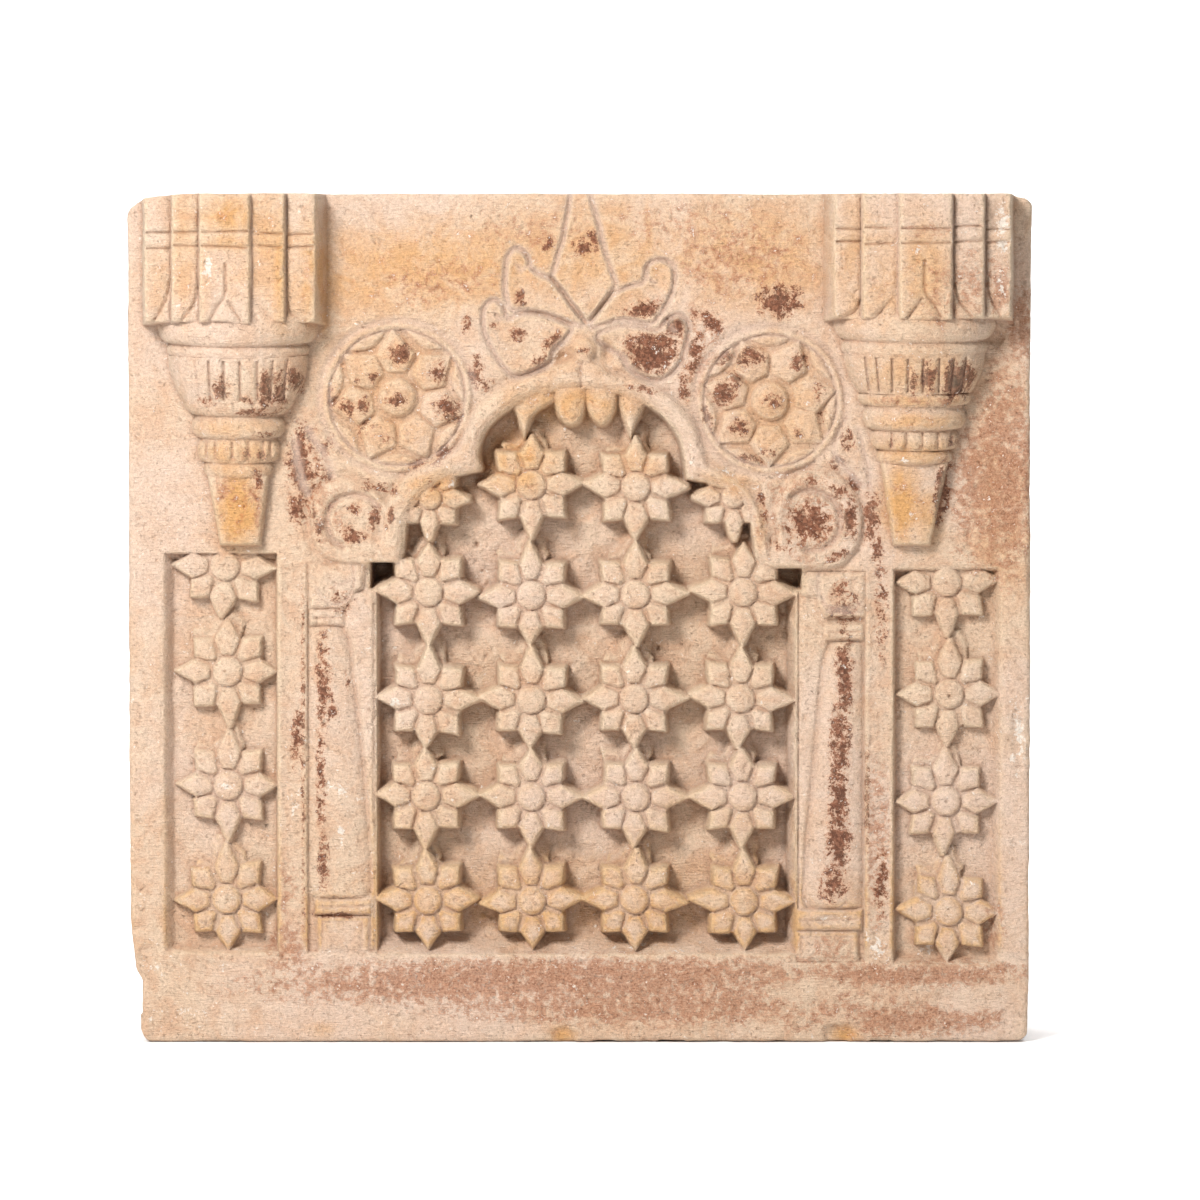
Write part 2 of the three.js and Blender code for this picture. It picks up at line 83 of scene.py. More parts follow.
def fractal(x, z, scale, octaves, seed, gain=0.5):
    """Octaves of noise, each turned against the last so that no grid shows. About -1 to 1."""
    total, weight, norm = 0, 1.0, 0
    for k in range(octaves):
        c, s = math.cos(0.6 + 1.1 * k), math.sin(0.6 + 1.1 * k)
        total = total + weight * value_noise(x * c - z * s, x * s + z * c, scale, seed + k)
        norm += weight
        weight *= gain
        scale *= 0.5
    return total / norm


def turned(u, v, angle):
    """The same place in axes turned by `angle`."""
    c, s = math.cos(angle), math.sin(angle)
    return u * c + v * s, v * c - u * s


def oval(u, v, rx, rz, lean=0):
    """How far out a place is in a leaning oval: 0 at its middle, 1 on its outline."""
    along, across = turned(u, v, lean)
    return np.hypot(along / rx, across / rz)


def strokes(x, z, lean, length, width, seed):
    """Noise drawn out along one direction, as a chisel or a rasp leaves it."""
    along, across = turned(x, z, lean)
    return value_noise(along * width / length, across, width, seed)


def smooth_max(a, b, k):
    """The larger of two heights, blended where they are within k."""
    h = np.maximum(k - np.abs(a - b), 0) / k
    return np.maximum(a, b) + h * h * k * 0.25


def smooth_min(a, b, k):
    return -smooth_max(-a, -b, k)


def ease(t):
    """0 to 1 along a smooth S."""
    t = np.clip(t, 0, 1)
    return t * t * (3 - 2 * t)


def shoulder(d, edge, slope):
    """How far a worn arris has dropped at distance d outside its outline: round over `edge`, then a wall."""
    inner = np.clip(1 + d / edge, 0, 1)
    return np.where(d < 0, edge * inner * inner, edge + slope * d)


def wall(d, edge, slope):
    """A shoulder whose wall steepens below its first millimetre."""
    return shoulder(d, edge, slope) + np.maximum(d - 0.5, 0) * slope * 1.6


def line_distance(x, z, points):
    """Distance to the line through the points."""
    nearest = np.full(x.shape, 1e9)
    for (ax, az), (bx, bz) in zip(points, points[1:]):
        ex, ez, wx, wz = bx - ax, bz - az, x - ax, z - az
        length = ex * ex + ez * ez
        if length > 1e-9:
            t = np.clip((wx * ex + wz * ez) / length, 0, 1)
            nearest = np.minimum(nearest, (wx - ex * t) ** 2 + (wz - ez * t) ** 2)
    return np.sqrt(nearest)


def outline_distance(x, z, points):
    """Distance to a closed outline, negative inside."""
    loop = points + points[:1]
    inside = np.zeros(x.shape, bool)
    for (ax, az), (bx, bz) in zip(loop, loop[1:]):
        if abs(bz - az) > 1e-9:
            inside ^= ((az > z) != (bz > z)) & (x < (bx - ax) * (z - az) / (bz - az) + ax)
    return np.where(inside, -1, 1) * line_distance(x, z, loop)


def curve(points, closed=False, steps=6):
    """A smooth line through the points."""
    count = len(points)
    p = [np.array(q, float) for q in points]
    out = []
    for i in range(count if closed else count - 1):
        if closed:
            a, b, c, d = p[i - 1], p[i], p[(i + 1) % count], p[(i + 2) % count]
        else:
            a, b, c, d = p[max(i - 1, 0)], p[i], p[i + 1], p[min(i + 2, count - 1)]
        for t in np.arange(steps) / steps:
            q = b + 0.5 * t * (c - a + t * (2 * a - 5 * b + 4 * c - d + t * (3 * (b - c) + d - a)))
            out.append(tuple(q))
    return out if closed else out + [tuple(p[-1])]


def rect_distance(x, z, x0, x1, z0, z1):
    """Distance outside an upright rectangle, negative inside."""
    return np.maximum(np.maximum(x0 - x, x - x1), np.maximum(z0 - z, z - z1))


# ---- the face before carving

CORNERS = {"low_left": 11, "low_right": 7, "top_left": 15, "top_right": 8}  # how round each corner is worn
EDGE_REACH = 26  # how far in from the edges the grid gives way to them


def corner_shift(near, radius):
    """How a point at distance `near` from a corner, along one edge, moves along it and inward."""
    t = np.clip(near / radius, 0, 1)
    turn = math.pi / 4 * (1 + t)
    along = radius - radius * np.cos(turn) - np.minimum(near, radius)
    return along, radius - radius * np.sin(turn)


def edge_shift(x, z):
    """Moves the rectangular grid on to the block's worn outline."""
    fade = lambda t: np.clip(1 - t / EDGE_REACH, 0, 1) ** 2
    from_left, from_right, from_low, from_top = x - LEFT, RIGHT - x, z - BASE, TOP - z
    shift_x, shift_z = np.zeros_like(x), np.zeros_like(z)
    for name, across, up, sx, sz in (
        ("low_left", from_left, from_low, 1, 1),
        ("low_right", from_right, from_low, -1, 1),
        ("top_left", from_left, from_top, 1, -1),
        ("top_right", from_right, from_top, -1, -1),
    ):
        radius = CORNERS[name]
        flat_along, flat_in = corner_shift(across, radius)
        side_along, side_in = corner_shift(up, radius)
        tip_along, tip_in = corner_shift(np.zeros(1), radius)
        a, b = fade(up), fade(across)
        shift_x += sx * (a * flat_along + b * side_in - a * b * tip_along)
        shift_z += sz * (a * flat_in + b * side_along - a * b * tip_in)
    wave = lambda t, scale, seed: value_noise(t, t * 0 + 3.3, scale, seed)

    def ragged(t, seed):
        return 0.55 + 0.35 * wave(t, 37, seed) + 0.2 * wave(t, 9, seed + 1) + 0.1 * wave(t, 3, seed + 2)

    chip = 3.2 * ease((84 - z) / 36) + 3.4 * ease((51 - z) / 9)
    left_in = ragged(z, 11) + chip + 1.2 * ease((wave(z, 13, 19) - 0.45) * 4) * ease((70 - z) / 20)
    right_in = ragged(z, 21) + 0.9 * ease((60 - z) / 50) + 0.7 * wave(z, 160, 27) + 0.6
    top_in = ragged(x, 31) + 3.6 * ease((LEFT + 62 - x) / 60) ** 2 + 2.6 * ease((x - RIGHT + 16) / 8)
    low_in = ragged(x, 41) + 0.8 * ease((wave(x, 23, 47) - 0.3) * 3) * ease((x + 60) / 60)
    shift_x += left_in * fade(from_left) - right_in * fade(from_right)
    shift_z += low_in * fade(from_low) - top_in * fade(from_top)
    return shift_x, shift_z


class Relief:
    """The front as a grid of points, with the weights that colour it."""

    def __init__(self, step):
        self.columns = COARSE * round((RIGHT - LEFT) / step / COARSE)
        self.rows = COARSE * round((TOP - BASE) / step / COARSE)
        across = np.linspace(LEFT, RIGHT, self.columns + 1)
        up = np.linspace(BASE, TOP, self.rows + 1)
        x, z = np.meshgrid(across, up)
        shift_x, shift_z = edge_shift(x, z)
        self.edge = smooth_min(smooth_min(x - LEFT, RIGHT - x, 5), smooth_min(z - BASE, TOP - z, 5), 5)
        self.x, self.z = x + shift_x, z + shift_z
        x, z = self.x, self.z
        self.forward = 0.5 * fractal(x, z, 90, 2, 101) + 0.22 * fractal(x, z, 14, 2, 105) - 0.3
        self.cut = np.zeros_like(x)

    def window(self, x0, x1, z0, z1, pad=12):
        """The grid's points in a rectangle, as a slice, x and z."""
        i0 = int((x0 - pad - LEFT) / (RIGHT - LEFT) * self.columns)
        i1 = int((x1 + pad - LEFT) / (RIGHT - LEFT) * self.columns) + 2
        k0 = int((z0 - pad - BASE) / (TOP - BASE) * self.rows)
        k1 = int((z1 + pad - BASE) / (TOP - BASE) * self.rows) + 2
        win = np.s_[max(k0, 0) : max(k1, 0), max(i0, 0) : max(i1, 0)]
        return win, self.x[win], self.z[win]

    def around(self, points, pad=12):
        xs, zs = [p[0] for p in points], [p[1] for p in points]
        return self.window(min(xs), max(xs), min(zs), max(zs), pad)

    def lift(self, win, height, blend=1.0):
        """Raises the front to `height` where that is higher."""
        self.forward[win] = smooth_max(self.forward[win], height, blend)

    def sink(self, win, height, blend=1.0):
        """Lowers the front to `height` where that is lower."""
        self.forward[win] = smooth_min(self.forward[win], height, blend)

    def dig(self, win, depth):
        self.forward[win] -= depth

    def mark(self, win, paleness):
        """Notes where the stone was cut to a pale, fresh surface."""
        self.cut[win] = np.maximum(self.cut[win], paleness)

    def groove(self, points, depth, half, pale=1.0):
        """A V-shaped line, cut with a point."""
        win, x, z = self.around(points)
        wander = 0.35 * value_noise(x, z, 7, 61)
        d = line_distance(x + wander, z + wander, points)
        self.forward[win] -= depth * np.clip(1 - d / half, 0, 1)
        self.cut[win] = np.maximum(self.cut[win], pale * ease(1.5 - d / half))

    def hollow(self, win, distance, depth, width):
        """The ground dressed back along an outline."""
        self.forward[win] -= depth * ease(1 - np.abs(distance) / width)


# ---- carving

BEDS = [
    {"edges": (-277.4, -200.4, 59, 327), "runs": (8, 2.6, 6, 2.6), "at": -235.2,
     "rows": [95.8, 171.7, 247.6, 318]},
    {"edges": (207.7, 280.7, 51, 317), "runs": (3, 8, 7, 5), "at": 244.4,
     "rows": [87.6, 161.3, 232.6, 307.2]},
]
COLUMN_X = [-101.5, -32.5, 36.8, 108.2]
ROW_Z = [94.9, 163.9, 228.9, 299.3]
CROWN_Z = 370.3  # the two flowers under the arch's point
FLOWER_PETALS = 8
SMALL = [(-99.5, 363, 0.8), (101.5, 363.7, 0.8)]
JAMBS = (-137, 145.5)
SILL = (57.7, 69.7)

ARCH_INNER = [
    [(-121, 320), (-118.6, 327), (-117.4, 341), (-115.5, 350.2), (-110.9, 358.6), (-104, 366.8), (-94, 374.4),
     (-80, 379.4), (-66.5, 382.2)],
    [(-66.5, 382.2), (-68.6, 393), (-63.5, 408.4), (-51.3, 420.3), (-35.7, 429.6), (-18.2, 434.8), (1, 437)],
    [(1, 437), (16.8, 435.4), (36.3, 430), (55.7, 418.3), (67, 402.7), (70.6, 388), (72, 376.6)],
    [(72, 376.6), (90.8, 373.2), (104.4, 366.7), (113, 354), (116.3, 336.5), (118.5, 324), (127.3, 316.6)],
]
ARCH_OUTER = [
    [(-133, 324), (-130.6, 340), (-129, 352), (-125.5, 364), (-117, 375), (-102, 386), (-86, 392.4),
     (-79.5, 397)],
    [(-79.5, 397), (-74, 412), (-66.5, 425), (-53, 435.5), (-38, 442), (-24, 446.6), (-12, 452.5),
     (1.5, 456)],
    [(1.5, 456), (13, 452), (22, 444.5), (40, 441), (60, 431), (74.5, 414), (81.5, 396), (84.5, 386)],
    [(84.5, 386), (99, 379), (112.5, 368.5), (119.5, 354), (124.6, 338), (127, 328)],
]


def joined(parts):
    """One line through several smooth parts that meet in sharp points."""
    line = []
    for part in parts:
        line += curve(part)[: -1]
    return line + [parts[-1][-1]]


INNER_LINE = joined(ARCH_INNER)
# Two sockets under the arch's feet, with their depths.
SOCKETS = [(-137.5, -122.2, 304.6, 318, -46), (129, 146, 303, 314.6, -31)]
# Deep holes that the chisel or the weather left in the niche: centre and radius.
HOLES = [(-69, 331, 1.3), (-30, 71, 1.4), (30, 395, 1.2), (-99, 255, 1.1), (52, 262, 1.0), (5, 160, 1.2)]
OPENING = [(JAMBS[0], SILL[0]), (JAMBS[0], SPRING - 2)] + INNER_LINE + [(JAMBS[1], 315), (JAMBS[1], SILL[0])]


def bed(relief, edges, runs):
    """A sunk bed: its four edges, and how far each of them slopes in."""
    left, right, low, high = edges
    win, x, z = relief.window(*edges)
    wander = 1.0 * fractal(x, z, 22, 3, 211)
    sides = [(x - left) / runs[0], (right - x) / runs[1], (z - low) / runs[2], (high - z) / runs[3]]
    depth = smooth_min(smooth_min(sides[0], sides[1], 0.3), smooth_min(sides[2], sides[3], 0.3), 0.3)
    rough = 0.55 * fractal(x, z, 9, 3, 215) + 0.35 * strokes(x, z, 1.3, 12, 2.4, 217)
    floor = BED_FLOOR + 0.8 * wander + rough
    relief.sink(win, floor * ease(depth + 0.08 * wander), 0.6)


def niche(relief):
    """The sunk back of the niche, its sloping sill and the two sockets under the arch's feet."""
    win, x, z = relief.around(OPENING)
    inside = -outline_distance(x, z, OPENING)
    floor = NICHE_FLOOR + 1.0 * fractal(x, z, 34, 2, 225) + 1.9 * fractal(x, z, 13, 4, 227, 0.6)
    floor = floor + 0.8 * strokes(x, z, 0.7, 11, 2.8, 229) * ease(0.5 + value_noise(x, z, 30, 231))
    right_run = 2.0 * ease((x - 128) / 12) * ease((320 - z) / 12)
    left_run = 0.5 * ease((-130 - x) / 6) * ease((318 - z) / 10)
    slope = 10 / (1 + right_run + left_run)
    depth = shoulder(inside - 1.4, 1.4, slope)
    sill = (z - SILL[0] + 1.4 * fractal(x, z, 16, 3, 233)) / (SILL[1] - SILL[0]) * -NICHE_FLOOR
    depth = smooth_min(depth, np.maximum(sill, 0), 2.0)
    cut = smooth_max(-depth, floor, 3.0)
    relief.forward[win] = np.where(inside > 0, np.minimum(relief.forward[win], cut), relief.forward[win])
    for x0, x1, z0, z1, deep in SOCKETS:
        win, x, z = relief.window(x0, x1, z0, z1)
        relief.sink(win, deep + wall(rect_distance(x, z, x0, x1, z0, z1), 0.8, 9), 0.8)
    for x0, z0, r in HOLES:
        win, x, z = relief.window(x0 - 3, x0 + 3, z0 - 3, z0 + 3, 2)
        relief.dig(win, 3.5 * ease(1.6 - np.hypot(x - x0, (z - z0) * 0.7) / r))


def petal_distance(u, v, root, root_half, broad, half, tip, tip_half):
    """A kite along +u with cut-off ends, from its edges' lines; negative inside."""
    v = np.abs(v)
    a, b = broad - root, half - root_half
    first = ((v - root_half) * a - (u - root) * b) / math.hypot(a, b)
    a, b = tip - broad, half - tip_half
    second = ((v - half) * a + (u - broad) * b) / math.hypot(a, b)
    sides = smooth_max(first, second, 1.0)
    return smooth_max(sides, np.maximum(root - u, u - tip), 0.5)


def flower(relief, rng, x0, z0, size, floor, reach, opening=None, drilled=False):
    """Eight petals round a domed boss: pointed ones along the rows and columns, squarer ones between."""
    win, x, z = relief.window(x0 - 36, x0 + 36, z0 - 38, z0 + 38, 4)
    u0, v0 = x - x0, z - z0
    tilt = rng.normal(0, 0.011, 2)
    plane = FLOWER_TOP + tilt[0] * u0 + tilt[1] * v0 + 0.3 * fractal(x, z, 9, 2, 241)
    turn = rng.normal(0, 0.022)
    body = np.full(x.shape, -99.0)
    nearest = np.full(x.shape, 99.0)
    wobble = 0.35 * value_noise(x, z, 7, 243) + 0.2 * value_noise(x, z, 2.6, 244)
    for k in range(FLOWER_PETALS):
        angle = k * 2 * math.pi / FLOWER_PETALS + turn + rng.normal(0, 0.025)
        u, v = turned(u0, v0, angle)
        v = v + rng.normal(0, 0.018) * (u - 10 * size)
        wide = 1 + rng.normal(0, 0.045)
        if k % 2 == 0:
            tip, neck = reach[k // 2]
            d = petal_distance(u, v, 10.3 * size, 4.0 * size, 20.6 * size, 8.4 * size * wide, tip, neck)
            ridge, fall = 0.19, 0.065
        else:
            corner = (31.2 + rng.normal(0, 0.8)) * size
            d = petal_distance(u, v, 10.8 * size, 1.9 * size, 22.2 * size, 8.5 * size * wide, corner, 0.3)
            ridge, fall = 0.15, 0.05
        d = d + wobble
        lean = rng.normal(0, 0.04)
        crown = plane + ridge * np.clip(-d, 0, 7) - fall * np.maximum(u - 14 * size, 0) + lean * v
        body = np.maximum(body, crown - wall(d + 0.5, 1.1, 4.2))
        nearest = np.minimum(nearest, d)
    r = np.hypot(u0, v0) * (1 + 0.03 * value_noise(x, z, 8, 245)) / size
    dome = plane + 0.5 + 1.8 * (1 - np.clip(r / 9.4, 0, 1) ** 2)
    if drilled:
        dot = np.hypot(u0 - rng.normal(0, 0.6), v0 - rng.normal(0, 0.6))
        dome = dome - 1.6 * ease(1.5 - dot / 0.9)
    body = np.maximum(body, dome - wall((r - 9.6) * size + 0.4, 1.0, 4))
    body = np.maximum(body, plane - 2.7 - 0.8 * np.clip(r - 12, 0, 9) / 9 - wall((r - 22.5) * size, 0.8, 4))
    ring = 0.8 * ease(1 - np.abs(r - 10.1) / 1.1)
    if opening is not None:
        body = body - 7 * np.maximum(outline_distance(x, z, opening) + 0.4, 0)
    ragged = fractal(x, z, 11, 3, int(rng.integers(300, 900)))
    above = ease((v0 + 4) / 14) * ease((17 + 6 * ragged - np.abs(u0 + 5)) / 5)
    ledge = floor * (0.64 + 0.12 * ragged) - 1.6 * np.maximum(nearest - 3.4 - 5 * ragged, 0)
    ledge = np.where(above > 0.3, ledge, -99)
    relief.lift(win, np.where(nearest < 14, ledge, -99), 1.2)
    relief.lift(win, body, 1.6)
    relief.mark(win, 0.5 * ring)


def flowers(relief):
    """The lattice of the niche, its two small flowers and the four flowers of each bed."""
    rng = np.random.default_rng(7)
    for i, x in enumerate(COLUMN_X):
        west = (x - JAMBS[0]) if i == 0 else (x - COLUMN_X[i - 1]) / 2
        east = (JAMBS[1] - 1 - x) if i == 3 else (COLUMN_X[i + 1] - x) / 2
        column = ROW_Z + ([CROWN_Z] if i in (1, 2) else [])
        for k, z in enumerate(column):
            shift = rng.normal(0, 0.7, 2)
            south = (z - column[k - 1]) / 2 if k else 33.5 + rng.normal(0, 1)
            north = (column[k + 1] - z) / 2 if k + 1 < len(column) else 33.5
            neck = lambda joins: 0.9 + rng.normal(0, 0.3) if joins else 0.3
            reach = [
                (east + 0.6 - shift[0], neck(i < 3)), (north + 0.6 - shift[1], neck(True)),
                (west + 0.6 + shift[0], neck(i > 0)), (south + 0.6 + shift[1], neck(k > 0)),
            ]
            flower(relief, rng, x + shift[0], z + shift[1], 1.0, NICHE_FLOOR, reach, OPENING)
    for x, z, size in SMALL:
        reach = [(34 * size, 1.2)] * 3 + [(z - ROW_Z[-1] - 34, 1.8)]
        flower(relief, rng, x, z, size, NICHE_FLOOR, reach, OPENING)
    for spec in BEDS:
        left, right, low, high = spec["edges"]
        rows = spec["rows"]
        for k, z in enumerate(rows):
            x = spec["at"] + rng.normal(0, 0.9)
            south = (z - rows[k - 1]) / 2 if k else z - low - 1.5
            north = (rows[k + 1] - z) / 2 if k < 3 else 30
            side = [min(35.5, right - x - 0.5), min(35.5, x - left - 2)]
            reach = [(side[0], 0.5), (north + 0.4, 1.7), (side[1], 0.5), (south + 0.4, 1.7 if k else 0.5)]
            frame_line = [(left, low), (right, low), (right, high), (left, high)]
            flower(relief, rng, x, z, 1.03, BED_FLOOR, reach, frame_line, drilled=True)


# Two hanging buds under the point of the arch, then half a leaf at each side of them.
BUDS = [
    curve([(-16.2, 441), (-16, 425), (-11.5, 414.5), (-5.5, 411), (0.4, 415), (3.4, 425), (3.5, 441)],
          True),
    curve([(4.6, 441), (5, 424), (9.5, 415), (15, 411.2), (20.5, 415.5), (24, 426), (24, 441)], True),
    [(-48, 431), (-42, 420), (-36.5, 402.5), (-32, 417), (-26, 423), (-17, 427), (-17, 445), (-45, 445)],
    [(25.5, 441), (26, 426), (30, 414), (33.6, 402.5), (37, 413), (44, 428), (44, 445)],
]


def buds(relief):
    for k, shape in enumerate(BUDS):
        win, x, z = relief.around(shape)
        d = outline_distance(x, z, shape) + 0.3 * value_noise(x, z, 6, 251)
        level, swell = (-3.0, 0.45) if k < 2 else (-3.5, 0.3)
        crown = level + swell * np.clip(-d, 0, 7)
        body = crown - wall(d, 2.2, 3)
        body = body - 7 * np.maximum(outline_distance(x, z, OPENING) + 0.4, 0)
        relief.lift(win, body, 1.4)


def arch_band(relief):
    """The raised band round the arch, with the ground dressed back outside it."""
    outer = joined(ARCH_OUTER)
    ring = INNER_LINE + [(127, 328)] + outer[::-1]
    win, x, z = relief.around(ring)
    beyond = line_distance(x, z, outer)
    relief.hollow(win, beyond - 2.4, 2.2, 5.5)
    d = outline_distance(x, z, ring)
    top = ARCH_TOP + 0.4 * fractal(x, z, 15, 2, 261) - 0.03 * np.maximum(x - 60, 0)
    relief.lift(win, top - shoulder(d, 4.2, 2.2), 1.0)
    inner = line_distance(x, z, INNER_LINE)
    inside_band = ease(-d / 1.5)
    relief.dig(win, 0.9 * inside_band * ease(1 - np.abs(inner - 2.5) / 1.2))
    relief.groove([(1.6, 457), (0.6, 449), (1.2, 437)], 2.4, 1.6, 0.3)


# Centre, radius, and the direction of the first petal.
MEDALLIONS = [(-121, 429.7, 49.5, math.pi / 2), (126, 427.4, 48.5, -math.pi / 2)]
MEDALLION_PETALS = 7


def medallion(relief, rng, x0, z0, radius, first):
    """Seven leaning petals round a boss, inside a thin raised ring."""
    win, x, z = relief.window(x0 - 56, x0 + 56, z0 - 56, z0 + 56, 4)
    u0, v0 = x - x0, z - z0
    size = radius / MEDALLIONS[0][2]
    r = np.hypot(u0, v0) + 0.6 * fractal(x, z, 20, 2, 271)
    relief.hollow(win, r - radius - 1.6, 2.0, 4.8)
    ring = -0.2 + 0.5 * fractal(x, z, 12, 2, 273) - shoulder(np.abs(r - radius + 2.0) - 1.9, 1.5, 2.0)
    body = np.full(x.shape, -3.9) + 0.5 * fractal(x, z, 9, 2, 275)
    for k in range(MEDALLION_PETALS):
        axis = first + k * 2 * math.pi / MEDALLION_PETALS + rng.normal(0, 0.02)
        u, v = turned(u0, v0, axis)
        v = v + rng.normal(0, 0.02) * (u - 20)
        d = petal_distance(u, v, 16.4 * size, 6.6 * size, 29 * size, 13.2 * size, 45.2 * size, 0.4)
        lean_out, lean_side = 0.055 + rng.normal(0, 0.03), rng.normal(0, 0.07)
        crown = -0.1 + 0.10 * np.clip(-d, 0, 9) + lean_side * v + lean_out * (u - 30) * -0.6
        crown = crown - 0.22 * np.maximum(24 * size - u, 0)
        body = smooth_max(body, crown - shoulder(d + 0.4, 1.1, 2.4), 0.5)
        # A lens between each two petals, against the ring.
        lens_u, lens_v = turned(u0, v0, axis + math.pi / MEDALLION_PETALS)
        lens = np.maximum(r - (radius - 5.0), (37.6 + 0.030 * lens_v**2) * size - lens_u)
        body = smooth_max(body, -1.0 + 0.25 * np.clip(-lens, 0, 4) - shoulder(lens + 0.2, 0.9, 2.2), 0.4)
    boss_r = r / size
    dome = 3.0 - 2.2 * np.clip(boss_r / 13, 0, 1) ** 2 + 0.5 * fractal(x, z, 6, 2, 277)
    if first < 0:  # the right one's boss has a ring cut in it
        dome = dome - 0.9 * ease(1 - np.abs(boss_r - 9.6) / 1.2)
    body = smooth_max(body, dome - shoulder((boss_r - 12.2) * size, 2.0, 2.2), 0.5)
    inside = ease((radius - 2.4 - r) / 1.6)
    ground = relief.forward[win]
    relief.forward[win] = smooth_max(ground * (1 - inside) + body * inside, ring, 0.5)
    inner_edge = ease(1.4 - np.abs(r - radius + 4.6) / 1.3)
    outer_edge = 0.7 * ease(1.3 - np.abs(r - radius - 1.8) / 3)
    relief.mark(win, 0.75 * np.maximum(inner_edge, outer_edge))


VOLUTES = [
    {
        "disc": (-147, 346.4, 15.8),
        "outline": [(-118.9, 322), (-121, 319.6), (-139, 318.8), (-158.2, 320.3), (-169.6, 324.3),
                    (-175.6, 331.9),
                    (-178.5, 342), (-178.9, 354.8), (-177, 362.6), (-171.1, 370), (-162, 374.6),
                    (-154.4, 375.6),
                    (-146.7, 373.6), (-139.1, 369.6), (-131, 363), (-124, 352)],
        "coil": [(-158, 330.5), (-164.3, 336), (-167.4, 345), (-166.5, 354.8), (-162, 361), (-155.9, 364.2),
                 (-147.5, 365), (-140, 362.6), (-134.5, 358)],
    },
    {
        "disc": (152, 346.4, 16.6),
        "outline": [(121, 321), (127.3, 316.6), (148.5, 316.1), (170.5, 317.4), (179, 323.3), (185.7, 334.3),
                    (187.4, 347), (185.7, 359.7), (179.8, 370.7), (169.7, 379.2), (157, 380.9),
                    (143.4, 378.4),
                    (135, 369), (129.9, 357.2), (128.2, 350.4), (130.7, 338)],
        "coil": [(140.5, 363.6), (147, 367.2), (155, 367.6), (163.5, 364.6), (169.6, 358.6), (172.4, 350),
                 (171.4, 340), (166, 332.2), (158, 328.4), (150, 328.2)],
    },
]


def volute(relief, disc, outline, coil):
    """A scroll at the foot of the arch: a raised outline, a flat disc and a coiled well round it."""
    shape = curve(outline, True)
    win, x, z = relief.around(shape)
    d = outline_distance(x, z, shape) + 0.4 * fractal(x, z, 14, 2, 281)
    relief.hollow(win, d - 2, 2.2, 5)
    top = 2.3 + 0.5 * fractal(x, z, 16, 2, 283)
    relief.lift(win, top - shoulder(d, 3.2, 1.8), 0.9)
    x0, z0, radius = disc
    r = np.hypot(x - x0, z - z0) + 0.4 * fractal(x, z, 11, 2, 285)
    swirl = curve(coil)
    away = line_distance(x, z, swirl)
    well = ease(1 - np.abs(away - 0.2) / 3.6)
    ring = ease(1 - np.abs(r - radius - 0.9) / 1.9)
    disc_top = 0.3 + 0.6 * fractal(x, z, 9, 3, 287)
    flat = ease((radius + 0.6 - r) / 1.6)
    relief.forward[win] = relief.forward[win] * (1 - flat) + disc_top * flat
    relief.dig(win, 4.6 * well + 1.6 * ring * (1 - well))
    relief.mark(win, 0.6 * well)


COLUMNS = [
    {
        "bay": (-182.5, -134, 59, SPRING), "outer": -180.8, "foot": -138.9, "head": -155.2,
        "span": (96.5, 277.6),
        "plinth": (-174.8, -140.5, 59.5, 84), "base": (-176, -139, 86, 95.4),
        "neck": (-179, -157, 278.8, 288.4),
        "capital": [(-180, 290), (-157, 290), (-152, 294), (-150, 300.5), (-144.5, 304), (-142.5, 319.4),
                    (-180, 319.4)],
        "jamb": (-1.6, -137.4, 62, 300),
        "scrolls": [
            [(-174, 303), (-171, 296), (-163, 292.5), (-155.5, 294.5), (-152, 301)],
            [(-166, 310), (-160, 305.5), (-153, 307.5)],
            [(-150.5, 304), (-150, 312), (-151.5, 319)],
        ],
    },
    {
        "bay": (143, 190.8, 52.6, 315.5), "outer": 188.2, "foot": 150.2, "head": 164.2, "span": (89.5, 266.8),
        "plinth": (143.8, 185.2, 53.5, 74), "base": (144.2, 187.4, 75.5, 88),
        "neck": (162.3, 188.5, 268.8, 279.6),
        "capital": [(189.5, 284), (163.5, 284), (159, 289), (157.5, 297), (147, 298.6), (151.5, 314),
                    (189.5, 313.6)],
        "jamb": (-2.8, 145.6, 62, 297),
        "scrolls": [
            [(158.5, 313), (157.5, 304), (158, 297.5)],
            [(160, 300), (163, 292), (171, 289.5), (181, 290), (186.5, 294)],
            [(187, 287.3), (175, 286.6), (164, 288)],
        ],
    },
]


